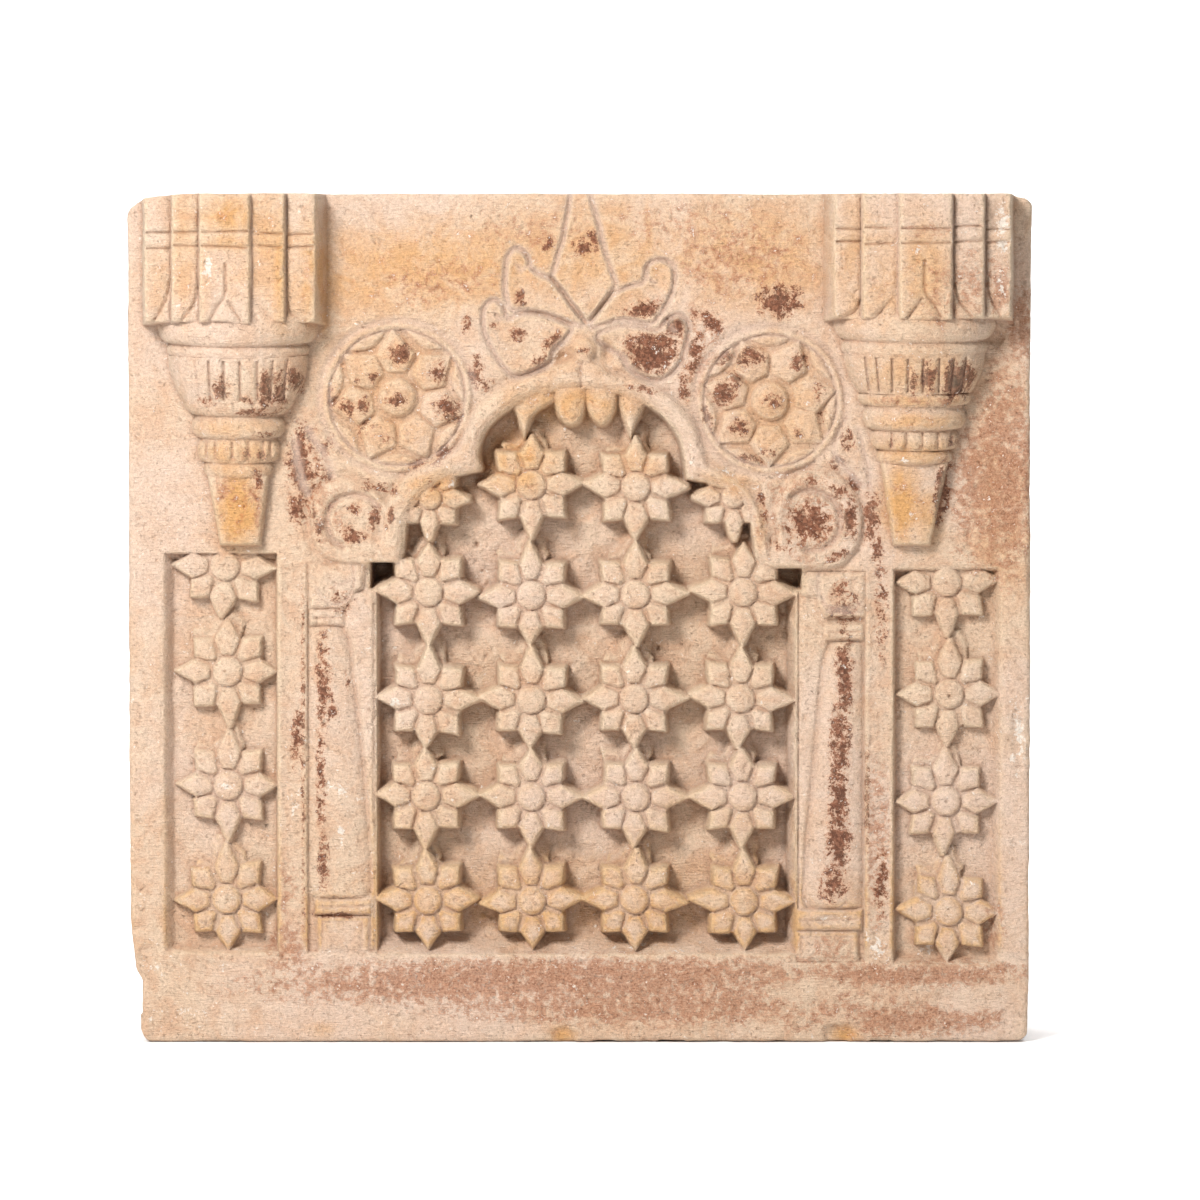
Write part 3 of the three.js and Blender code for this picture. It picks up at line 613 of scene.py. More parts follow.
def column(relief, bay, outer, foot, head, span, plinth, base, neck, capital, jamb, scrolls):
    """A column carved in low half round in its shallow bay."""
    win, x, z = relief.window(*bay)
    d = rect_distance(x, z, *bay)
    rough = 0.3 * fractal(x, z, 10, 2, 291) + 0.2 * strokes(x, z, 1.5, 14, 2.2, 292)
    sunk = np.maximum(BAY_FLOOR + rough, -shoulder(-d - 0.9, 0.9, 3.2))
    relief.forward[win] = np.where(d < 0, np.minimum(relief.forward[win], sunk), relief.forward[win])
    way = 1 if foot > outer else -1
    t = np.clip((z - span[0]) / (span[1] - span[0]), 0, 1)
    inner = foot + (head - foot) * t**1.35
    inner = inner - way * (3.0 * ease((t - 0.94) / 0.06) + 2.5 * ease((0.04 - t) / 0.04))
    inner = inner + 0.4 * value_noise(z, x * 0, 21, 294)
    across = 2 * (x - outer) / (inner - outer) - 1
    round_part = np.sqrt(np.clip(1 - across**2, 0, 1)) - 0.6 * np.maximum(np.abs(across) - 1, 0) * 9
    shaft = BAY_FLOOR - 0.6 + 5.9 * round_part + 0.35 * fractal(x, z, 18, 3, 293)
    past_ends = np.maximum(span[0] - z, z - span[1])
    relief.lift(win, shaft - shoulder(past_ends, 2.6, 3), 0.4)
    level, edge, low, high = jamb
    beside = (inner + way * 2.4 - x) * way
    d = np.maximum(np.maximum(beside, (x - edge) * way), np.maximum(low - z, z - high))
    relief.lift(win, level + rough - shoulder(d, 1.5, 1.6), 0.5)
    for part, top in ((plinth, -0.5), (base, 0.9), (neck, 0.6)):
        d = rect_distance(x, z, *part) + 0.5 * fractal(x, z, 9, 2, 295)
        relief.lift(win, top + 1.4 * rough - shoulder(d, 2.0, 2.4), 0.7)
    x0, x1, z0, z1 = plinth
    panel = np.abs(rect_distance(x, z, x0 + 3.6, x1 - 4.6, z0 + 2.5, z1 - 3.2))
    relief.dig(win, 1.0 * ease(1 - panel / 1.3))
    for x0, x1, z0, z1 in (base, neck):
        ends = ease((x - x0) / 3) * ease((x1 - x) / 3)
        sag = z0 + 0.45 * (z1 - z0) + 0.03 * (x - x0)
        relief.dig(win, 1.3 * ease(1 - np.abs(z - sag) / 1.2) * ends)
    d = outline_distance(x, z, capital) + 0.5 * fractal(x, z, 9, 2, 297)
    relief.lift(win, 1.0 + 2.6 * rough - shoulder(d, 2.4, 2.2), 0.7)
    for points in scrolls:
        relief.groove(curve(points), 1.5, 1.5, 0.6)


SPIKE = [(-4.5, 570), (6.2, 570), (7.5, 561), (14.5, 533), (24, 504.5), (14, 490), (4.4, 480), (-7, 494),
         (-18.3, 510),
         (-11.5, 533)]
LEAVES = [
    [(3, 479), (-8, 494), (-18, 507), (-27, 511.5), (-32.5, 516), (-35.5, 524), (-41.9, 528.2), (-48, 523),
     (-49.6, 509), (-48.9, 495), (-44.5, 487.8), (-34, 487), (-20, 484.6), (-7, 479.4)],
    [(-6, 476.5), (-16, 481.6), (-30, 485.4), (-42, 484), (-48, 481.8), (-50.5, 488), (-56.5, 494.2),
     (-63, 489.5), (-63.6, 476), (-58.6, 462.5), (-49, 448), (-41, 444), (-30, 447.6), (-20.6, 453),
     (-17.5, 461), (-9, 469)],
    [(7.6, 476.8), (14, 488), (23.4, 498.5), (34, 503.5), (42.5, 506.5), (44.5, 516.6), (52.6, 520.8),
     (62, 515.8), (60.6, 499.2), (54, 485.6), (46, 478.6), (30.2, 481.6), (15, 478.4)],
    [(12, 471), (21, 475.4), (31, 477.6), (43, 475.6), (51.6, 475), (57, 480.8), (65.5, 484.7), (71.8, 477.8),
     (70, 464.2), (65, 450.6), (54.5, 442), (41.8, 443.7), (32, 450.4), (28, 457.6), (15, 465.4)],
]
CURLS = [
    [(-35.5, 524), (-34.4, 518.5), (-38.5, 514), (-41, 517)],
    [(-50.5, 490), (-49.3, 486), (-53.5, 481.5), (-56, 485)],
    [(44.5, 516), (45.2, 508.5), (50, 506)],
    [(58, 481.8), (59.4, 476.5), (63, 474)],
]


KNOB_HOLLOWS = [(-12, 457.5, 6.4, 9.5, -0.6), (18.6, 460, 5.4, 9.0, 0.2)]  # beside the knob over the arch


def finial(relief):
    """An upright spike between two curled leaves a side, drawn by pointed grooves, over a small knob."""
    for k, points in enumerate([SPIKE] + LEAVES):
        shape = points if k == 0 else curve(points, True)
        win, x, z = relief.around(shape)
        wander = 0.5 * value_noise(x, z, 9, 301 + k)
        d = outline_distance(x, z, shape) + wander
        relief.dig(win, 2.9 * ease(1.15 - np.abs(d - 0.3) / 2.3))
        dish = ease((-d - 3) / 6) if k else ease((-d - 3) / 12) * 0.3
        relief.forward[win] += 0.45 * ease(1 - np.abs(d + 2.6) / 1.6) - 0.9 * dish
        relief.forward[win] += 0.4 * fractal(x, z, 6, 2, 305) * ease(-d / 2)
        relief.mark(win, ease(1.7 - np.abs(d - 0.3) / 2.0))
    for points in CURLS:
        relief.groove(curve(points), 1.7, 1.5, 0.7)
    for x0, z0, rx, rz, lean in KNOB_HOLLOWS:
        win, x, z = relief.window(x0 - 14, x0 + 14, z0 - 14, z0 + 14)
        relief.dig(win, 6.5 * ease(1.15 - oval(x - x0, z - z0, rx, rz, lean)))
    win, x, z = relief.window(-10, 16, 448, 474)
    d = np.hypot((x - 2.8) / 1.08, z - 462.6) - 7.2 + 0.4 * value_noise(x, z, 5, 308)
    stem = np.maximum(np.abs(x - 2) - 4.6 - 0.25 * np.maximum(458 - z, 0), np.maximum(452 - z, z - 462))
    d = smooth_min(d, stem, 2)
    relief.lift(win, 4.4 + 0.5 * fractal(x, z, 6, 2, 309) - shoulder(d + 0.2, 3.2, 2.2), 1.2)


SPANDREL_LINES = [
    [(-180, 409), (-176.5, 402), (-171.9, 395.2), (-167.2, 387), (-164.6, 378.5)],
    [(-189.5, 401), (-187.5, 388), (-184, 374), (-180.5, 366)],
    [(177, 416), (170.5, 403.7), (168.8, 394.4), (171.4, 388.5), (178.1, 381.5), (188, 371)],
    [(185, 408), (188, 396), (191, 383), (192, 370)],
]

CORBELS = [
    {
        "edges": [-286.7, -268.1, -249.5, -216.3, -193.8, -173.9], "splay": 8.3, "foot": 479.6,
        "axis": -226.3,
        "lines": (530.2, 538.5),
        "torus": (479, 464, 53.4), "fillet": (462.8, 455.9, 47.2), "bowl": (455.9, 426.6, 46.4, 37.4),
        "cove": (426.6, 418, 37.4, 30.5), "cushion": (416.7, 403, 30.9), "beads": (401.8, 387.2, 27.4),
        "ring": (386.9, 377.2, 23.2), "drop": (376.9, 332.7, 19.2, 12.8),
        "flutes": [-27.4, -17.8, -7.8, 2.8, 14.1, 24.5, 33.8],
        "bead_lines": [-20.5, -14.6, -3.2, 7.2, 17, 21.8],
    },
    {
        "edges": [284, 265.8, 244.5, 209.4, 185.8, 167.2], "splay": -8.6, "foot": 482, "axis": 221.5,
        "lines": (532.5, 542.2),
        "torus": (481.4, 466.5, 54), "fillet": (465.2, 457.6, 48.6), "bowl": (457.6, 432, 46.8, 37.8),
        "cove": (431.6, 424.2, 37.2, 35), "cushion": (422.7, 408.8, 34.4), "beads": (407.8, 395.5, 29.4),
        "ring": (394.4, 386.2, 25.6), "drop": (385.6, 332.7, 21.4, 11.6),
        "flutes": [-33.7, -26.5, -16, -5.6, 4.4, 15, 25, 33], "bead_lines": [-15.4, -6, 4.6, 14.8, 24],
    },
]
STEP_DEPTHS = (30, 38, 45.2)
FLATNESS = 0.8  # a turned member's depth over its half width
SMILE = 2.6  # how far the turned members hang lower in the middle than at their ends


def member_radius(z, spec):
    """The half width of the turned members at height z."""
    torus, fillet, bowl, cove = spec["torus"], spec["fillet"], spec["bowl"], spec["cove"]
    cushion, beads, ring, drop = spec["cushion"], spec["beads"], spec["ring"], spec["drop"]
    heights = [drop[0] - 1, ring[1], beads[1], cushion[1], cove[1], bowl[1], fillet[1], torus[1],
               torus[0] + 6]
    necks = [drop[2] - 3, drop[2] - 1, ring[2] - 3, beads[2] - 2, cove[3] - 2, bowl[3] - 2, fillet[2] - 2.4,
             fillet[2] - 1.6, torus[2] - 5]
    radius = np.interp(z, heights, necks)

    def round_member(top, bottom, half, bulge):
        nonlocal radius
        t = (2 * z - top - bottom) / (top - bottom)
        part = half - bulge + bulge * np.sqrt(np.clip(1 - t * t, 0, 1)) - 20 * np.maximum(np.abs(t) - 1, 0)
        radius = np.maximum(radius, part)

    def cone(top, bottom, upper, lower, belly):
        nonlocal radius
        t = np.clip((z - bottom) / (top - bottom), 0, 1)
        part = lower + (upper - lower) * t + belly * 4 * t * (1 - t)
        radius = np.where((z <= top) & (z > bottom), np.maximum(radius, part), radius)

    round_member(torus[0] + 5, torus[1], torus[2], 7.5)
    round_member(fillet[0], fillet[1], fillet[2], 2.4)
    cone(bowl[0], bowl[1], bowl[2], bowl[3], 2.4)
    cone(cove[0], cove[1], cove[2], cove[3], 1.6)
    round_member(cushion[0], cushion[1], cushion[2], 4.6)
    round_member(beads[0], beads[1], beads[2], 3.6)
    round_member(ring[0], ring[1], ring[2], 3.4)
    return radius


# The leaf edges on the capital's five faces: how far across the face, and how high above its foot.
LEAF_CURVES = [
    [[(0.90, 27), (0.86, 19), (0.69, 11.5), (0.37, 1.5)]],
    [[(0.93, 23), (0.83, 13.5), (0.62, 7.6), (0.36, 1.5)]],
    [[(0.515, 38.5), (0.515, 19), (0.375, 11.5), (0.2, 1.5)], [(0.575, 14), (0.70, 7), (0.815, 1.5)]],
    [[(0.11, 14.5), (0.36, 8), (0.635, 0.5)]],
    [[(0.07, 11.5), (0.17, 6.5), (0.40, 3), (0.71, 0.8)]],
]


def corbel(relief, rng, spec):
    """A stepped capital on turned members and a plain drop."""
    edges, foot, axis = spec["edges"], spec["foot"], spec["axis"]
    outer, inner = edges[0], edges[5]
    way = 1 if inner > outer else -1
    span = [min(outer, inner + spec["splay"]), max(outer, inner + spec["splay"])]
    win, x, z = relief.window(span[0], span[1], spec["drop"][1], TOP, 10)
    rough = fractal(x, z, 12, 3, 321)

    # The turned members, in half round.
    dx = x - axis
    hang = z - SMILE * np.clip(np.abs(dx / spec["torus"][2]), 0, 1.2) ** 2 + 0.25 * rough
    radius = member_radius(hang, spec)
    round_part = FLATNESS * np.sqrt(np.maximum(radius**2 - dx**2, 0)) - 5 * np.maximum(np.abs(dx) - radius, 0)
    reed = np.zeros_like(x)
    bowl_top, bowl_low = spec["bowl"][0], spec["bowl"][1]
    t = (bowl_top - hang) / (bowl_top - bowl_low)
    on_bowl = ease((bowl_top - 0.8 - hang) / 1.4) * ease((hang - bowl_low - 0.4) / 2.2)
    for k, g in enumerate(spec["flutes"]):
        pull = 1 - 0.10 * t * ease((abs(g) - 12) / 15)
        faint = 0.45 if (way > 0 and k == 0) else 1
        reed = np.maximum(reed, faint * np.clip(1 - np.abs(dx - g * pull) / 1.4, 0, 1))
    round_part -= 3.4 * reed * on_bowl
    scallop = ease((bowl_low + 4.5 - hang) / 4.5) * on_bowl
    round_part -= 0.9 * scallop * ease(reed * 3)
    bead_top, bead_low = spec["beads"][0], spec["beads"][1]
    on_beads = ease((bead_top - hang) / 1.5) * ease((hang - bead_low + 0.5) / 2)
    pits = np.zeros_like(x)
    for g in spec["bead_lines"]:
        pinch = 1 + 1.6 * ease((bead_low + 6 - hang) / 6) ** 2
        pits = np.maximum(pits, np.clip(1 - np.abs(dx - g) / (1.5 * pinch), 0, 1))
    round_part -= 3.2 * pits * on_beads
    body = np.where(hang > spec["drop"][0] - 1, round_part, -9)
    cut = np.maximum(0.45 * reed * on_bowl, 0.3 * pits * on_beads)

    # The plain drop: a flat tapering face with crisp sides.
    drop_top, drop_low, half_top, half_low = spec["drop"]
    half = half_low + (half_top - half_low) * np.clip((z - drop_low) / (drop_top - drop_low), 0, 1)
    beside = np.abs(dx - 0.03 * way * (drop_top - z)) - half
    d = np.maximum(beside, np.maximum(drop_low - z, z - drop_top - 1))
    face = 11.5 + 3.2 * np.clip((z - drop_low) / 44, 0, 1) - 0.008 * dx**2 + 0.4 * rough
    body = np.maximum(body, face - wall(d, 1.3, 3.5))

    # The stepped capital. Each level stands proud of the one outside it.
    foot_line = foot + 0.9 * value_noise(x, z * 0, 21, 331 + way) + 0.4 * value_noise(x, z * 0, 6, 333)
    below = foot_line - z
    cap = np.full(x.shape, -9.0)
    for level in range(3):
        e0, e1 = edges[level], edges[5 - level]
        out_d, in_d = (e0 - x) * way, (x - e1) * way
        wobble = 0.3 * value_noise(x * 0, z, 18, 341 + level) + 0.25 * value_noise(x, z, 7, 343)
        out_slope, in_slope = (9, 4.6) if level == 0 else (8, 9)
        top = STEP_DEPTHS[level] + 0.35 * rough
        outside = shoulder(out_d + wobble, 1.4, out_slope)
        inside = shoulder(in_d + wobble, 1.2, in_slope)
        under = shoulder(below + 0.6, 1.6, 12)
        cap = np.maximum(cap, top - np.maximum(np.maximum(outside, inside), under))
    on_cap = ease(-below / 1.2) * ease(((x - outer) * way + 0.5) / 1) * ease(((inner - x) * way + 0.5) / 1)
    for k, e in enumerate(edges[1:5]):
        side = -way if k < 2 else way
        line = np.clip(1 - np.abs(x - e - side * 0.9 + 0.3 * value_noise(x * 0, z, 25, 351 + k)) / 1.25, 0, 1)
        cap -= 2.3 * line * on_cap
        cut = np.maximum(cut, 0.6 * ease(line * 1.6) * on_cap)
    for k in range(5):
        e0, e1 = sorted((edges[k], edges[k + 1]))
        gap = ease((x - e0 - 0.8) / 1.0) * ease((e1 - 0.6 - x) / 1.0)
        for level in spec["lines"]:
            tilt = rng.normal(0, 0.022)
            off = rng.normal(0, 0.7)
            away = z - level - off - tilt * (x - (e0 + e1) / 2) - 0.3 * rough
            cap -= 2.9 * np.clip(1 - np.abs(away) / 1.35, 0, 1) * gap
    for k, lines in enumerate(LEAF_CURVES):
        for points in lines:
            path = curve([(edges[k] + (edges[k + 1] - edges[k]) * a, foot + b) for a, b in points])
            d = line_distance(x + 0.2 * rough, z, path)
            line = np.clip(1 - d / 1.7, 0, 1) * on_cap
            cap -= 3.0 * line
            # The ground drops behind the leaf: inward of the outer faces' edges, outward of the inner ones'.
            outer_half = (k, points[0][0]) < (2, 0.55)
            behind = ease(1 - d / 7) * on_cap * (((x - path[-1][0]) * way > 0) == outer_half)
            cap -= 0.7 * behind * ease((foot + 22 - z) / 20)
    relief.lift(win, smooth_max(body, cap, 0.8), 1.2)
    relief.mark(win, cut)


# Bruises and spalls that have a place of their own: centre, half sizes, lean and depth.
CHIPS = [
    (-243.5, 514, 4, 9, 0.1, 0.9), (-247, 547, 7, 10, 0.4, 1.3), (-263, 533, 8, 7, 0, 0.7),
    (172, 5, 16, 8, 0.2, 3.5), (-10, 4, 9, 7, 0, 2.5), (232, 22, 30, 9, 0.25, 1.2),
    (60, 28, 26, 14, 0.5, 1.0),
    (-120, 24, 40, 12, -0.2, 0.8), (276, 470, 8, 9, 0.3, 3.0), (291, 205, 5, 24, 0, 1.4),
    (164, 82, 9, 4, 0, 1.6),
    (-288, 60, 8, 7, 0.5, 1.6), (-146, 395, 7, 4, -0.6, 0.5), (116, 371, 6, 3, -0.5, 1.3),
    (276, 549, 8, 12, 0, 2.0),
    (-296, 210, 5, 30, 0, 0.8), (-5, 88, 12, 5, 0, 0.8), (97, 379, 7, 3, -0.3, 1.2),
    (300, 300, 5, 40, 0, 0.8),
]


def chips(relief):
    for x0, z0, rx, rz, lean, depth in CHIPS:
        reach = max(rx, rz) + 4
        win, x, z = relief.window(x0 - reach, x0 + reach, z0 - reach, z0 + reach)
        r = oval(x - x0, z - z0, rx, rz, lean) + 0.35 * fractal(x, z, 9, 3, 401)
        relief.dig(win, depth * ease((1 - r) * 2.4))


def blurred(field, times):
    """The field smoothed by small steps."""
    for _ in range(times):
        padded = np.pad(field, 1, mode="edge")
        field = (padded[:-2, 1:-1] + 2 * padded[1:-1, 1:-1] + padded[2:, 1:-1]) / 4
        padded = np.pad(field, 1, mode="edge")
        field = (padded[1:-1, :-2] + 2 * padded[1:-1, 1:-1] + padded[1:-1, 2:]) / 4
    return field


def weather(relief):
    """Wears the arrises, pits the surface and rounds the block's own edge."""
    x, z = relief.x, relief.z
    spread = max(1, round(6 * (FULL_STEP / STEP) ** 2))
    crest = relief.forward - blurred(relief.forward, spread)
    bite = ease(0.5 + 0.9 * fractal(x, z, 7, 3, 421))
    relief.forward -= np.clip(crest, 0, 3) * (0.12 + 0.5 * bite)
    relief.forward += 0.20 * fractal(x, z, 4.5, 3, 431) + 0.16 * strokes(x, z, -0.75, 16, 2.2, 441)
    flat = ease((60 - z) / 8)
    worn_away = 0.7 * ease((fractal(x, z, 26, 3, 461) - 0.12) * 5)
    relief.forward += flat * (0.55 * fractal(x, z, 11, 3, 451) - worn_away)
    pits = ease((fractal(x, z, 3.2, 2, 471) - 0.52) * 7)
    relief.forward -= 0.8 * pits
    radius = 3.6 + 1.2 * fractal(x, z, 24, 3, 481)
    radius = radius + 2.2 * ease((fractal(x, z, 13, 2, 491) - 0.35) * 5)
    t = np.clip(1 - relief.edge / radius, 0, 1)
    relief.forward -= radius * (1 - np.sqrt(1 - 0.98 * t * t))
    relief.forward = np.minimum(relief.forward, REACH - 0.25)


STRIPS = [(-197.5, -185.5, 84, 318), (192.6, 206, 62, 312)]  # dressed back between columns and beds


def carve():
    """The whole front, each part over the last."""
    relief = Relief(STEP)
    rng = np.random.default_rng(3)
    for spec in BEDS:
        bed(relief, spec["edges"], spec["runs"])
    for spec in COLUMNS:
        column(relief, **spec)
    for x0, x1, z0, z1 in STRIPS:
        win, x, z = relief.window(x0, x1, z0, z1)
        d = rect_distance(x, z, x0, x1, z0, z1) + 0.5 * fractal(x, z, 12, 2, 299)
        relief.dig(win, 0.7 * ease(0.5 - d / 1.5))
    for points in SPANDREL_LINES:
        relief.groove(curve(points), 1.8, 2.4, 0.9)
    for spec in MEDALLIONS:
        medallion(relief, rng, *spec)
    for spec in VOLUTES:
        volute(relief, **spec)
    arch_band(relief)
    finial(relief)
    niche(relief)
    flowers(relief)
    buds(relief)
    for spec in CORBELS:
        corbel(relief, rng, spec)
    chips(relief)
    weather(relief)
    return relief


# ---- the mesh

SIDE_RINGS = 20
BACK_INSET, RIM_INSET = 0.008, 0.006  # how far the back's points and its rim draw in


def border(grid):
    """The outer ring of a grid of point numbers."""
    return np.concatenate([grid[0, :-1], grid[:-1, -1], grid[-1, :0:-1], grid[:0:-1, 0]])


def corners(grid):
    """The four corners of each cell of a grid."""
    return grid[:-1, :-1], grid[:-1, 1:], grid[1:, 1:], grid[1:, :-1]


def front_skin(relief):
    """The front's point numbers, points and triangles, each cell cut along its flatter diagonal."""
    index = np.arange(relief.x.size).reshape(relief.x.shape)
    points = np.stack([relief.x, FACE_Y - relief.forward, relief.z], -1).reshape(-1, 3)
    a, b, c, d = corners(index)
    ha, hb, hc, hd = corners(relief.forward)
    slash = (np.abs(ha - hc) <= np.abs(hb - hd))[..., None]
    first = np.where(slash, np.stack([a, b, c], -1), np.stack([a, b, d], -1))
    second = np.where(slash, np.stack([a, c, d], -1), np.stack([b, c, d], -1))
    return index, points, [first.reshape(-1, 3), second.reshape(-1, 3)]


def back_grid(relief):
    """The back's points: coarser, dressed with a point, its edge broken."""
    x, z, edge = (field[::COARSE, ::COARSE] for field in (relief.x, relief.z, relief.edge))
    rough = 1.6 + 1.5 * fractal(x, z, 46, 3, 531) + 0.9 * strokes(x, z, 1.0, 40, 9, 541)
    y = BACK_Y - 0.1 - np.clip(rough, 0, None) * ease(edge / 12) - 2.2 * ease(1 - edge / 9)
    return np.stack([x - x * BACK_INSET, y, z - (z - (BASE + TOP) / 2) * BACK_INSET], -1)


def closed_mesh(relief):
    """The front, the four rough sides and the back as one closed skin of triangles, in millimetres."""
    index, front, faces = front_skin(relief)
    ring = border(index)
    rim = front[ring]
    points, count = [front], len(front)

    tangent = np.roll(rim, -3, 0) - np.roll(rim, 3, 0)
    inward = np.stack([-tangent[:, 2], tangent[:, 0]], -1)
    inward /= np.linalg.norm(inward, axis=1, keepdims=True) + 1e-9
    along = np.cumsum(np.linalg.norm(np.roll(rim, -1, 0) - rim, axis=1))
    on_top = ease((rim[:, 2] - (TOP - 30)) / 20)
    for j in range(1, SIDE_RINGS + 1):
        t = (j / SIDE_RINGS) ** 1.15
        y = rim[:, 1] * (1 - t) + (BACK_Y - 5) * t
        rough = 0.6 + 0.9 * fractal(along, y, 30, 3, 511) + 0.5 * strokes(along, y, 0.5, 26, 5, 521)
        rough = np.clip(rough, 0, None) * ease(4 * t) * (1 - 0.4 * on_top)
        layer = np.stack([rim[:, 0] + inward[:, 0] * rough, y, rim[:, 2] + inward[:, 1] * rough], -1)
        points.append(layer)
        after = count + np.arange(len(ring))
        next_before, next_after = np.roll(ring, -1), np.roll(after, -1)
        faces += [np.stack([ring, after, next_after], -1), np.stack([ring, next_after, next_before], -1)]
        ring = after
        count += len(layer)

    # The back, and a strip of triangles that fans each of its border points on to the sides' finer ring.
    back = back_grid(relief)
    back_index = count + np.arange(back[..., 0].size).reshape(back.shape[:2])
    back_ring = border(back_index)
    flat = back.reshape(-1, 3)
    rim_points = layer[::COARSE].copy()
    rim_points[:, 0] -= rim_points[:, 0] * RIM_INSET
    rim_points[:, 2] -= (rim_points[:, 2] - (BASE + TOP) / 2) * RIM_INSET
    rim_points[:, 1] = BACK_Y - 1.6
    flat[back_ring - count] = rim_points
    points.append(flat)
    a, b, c, d = corners(back_index)
    faces += [np.stack([a, c, b], -1).reshape(-1, 3), np.stack([a, d, c], -1).reshape(-1, 3)]
    fine = np.append(ring, ring[0])
    coarse = np.append(back_ring, back_ring[0])
    half = COARSE // 2
    for k in range(len(back_ring)):
        here, after = coarse[k], coarse[k + 1]
        chain = fine[k * COARSE : (k + 1) * COARSE + 1]
        strip = [(chain[m], here if m < half else after, chain[m + 1]) for m in range(COARSE)]
        strip.insert(half, (chain[half], here, after))
        faces.append(np.array(strip))
    return np.concatenate(points), np.concatenate(faces)


def mesh_object(name, points, triangles):
    mesh = bpy.data.meshes.new(name)
    mesh.vertices.add(len(points))
    mesh.vertices.foreach_set("co", (points * MM).astype(np.float32).ravel())
    mesh.loops.add(len(triangles) * 3)
    mesh.loops.foreach_set("vertex_index", triangles.astype(np.int32).ravel())
    mesh.polygons.add(len(triangles))
    mesh.polygons.foreach_set("loop_start", (np.arange(len(triangles)) * 3).astype(np.int32))
    mesh.update(calc_edges=True)
    made = bpy.data.objects.new(name, mesh)
    bpy.context.scene.collection.objects.link(made)
    return made


def thinned(made, triangles):
    """Collapses the flattest places first, until about `triangles` are left."""
    modifier = made.modifiers.new("thin", "DECIMATE")
    modifier.ratio = triangles / len(made.data.polygons)
    graph = bpy.context.evaluated_depsgraph_get()
    thin = bpy.data.meshes.new_from_object(made.evaluated_get(graph))
    made.modifiers.clear()
    heavy = made.data
    made.data = thin
    bpy.data.meshes.remove(heavy)
    thin.name = made.name
    return made


# ---- colour weights

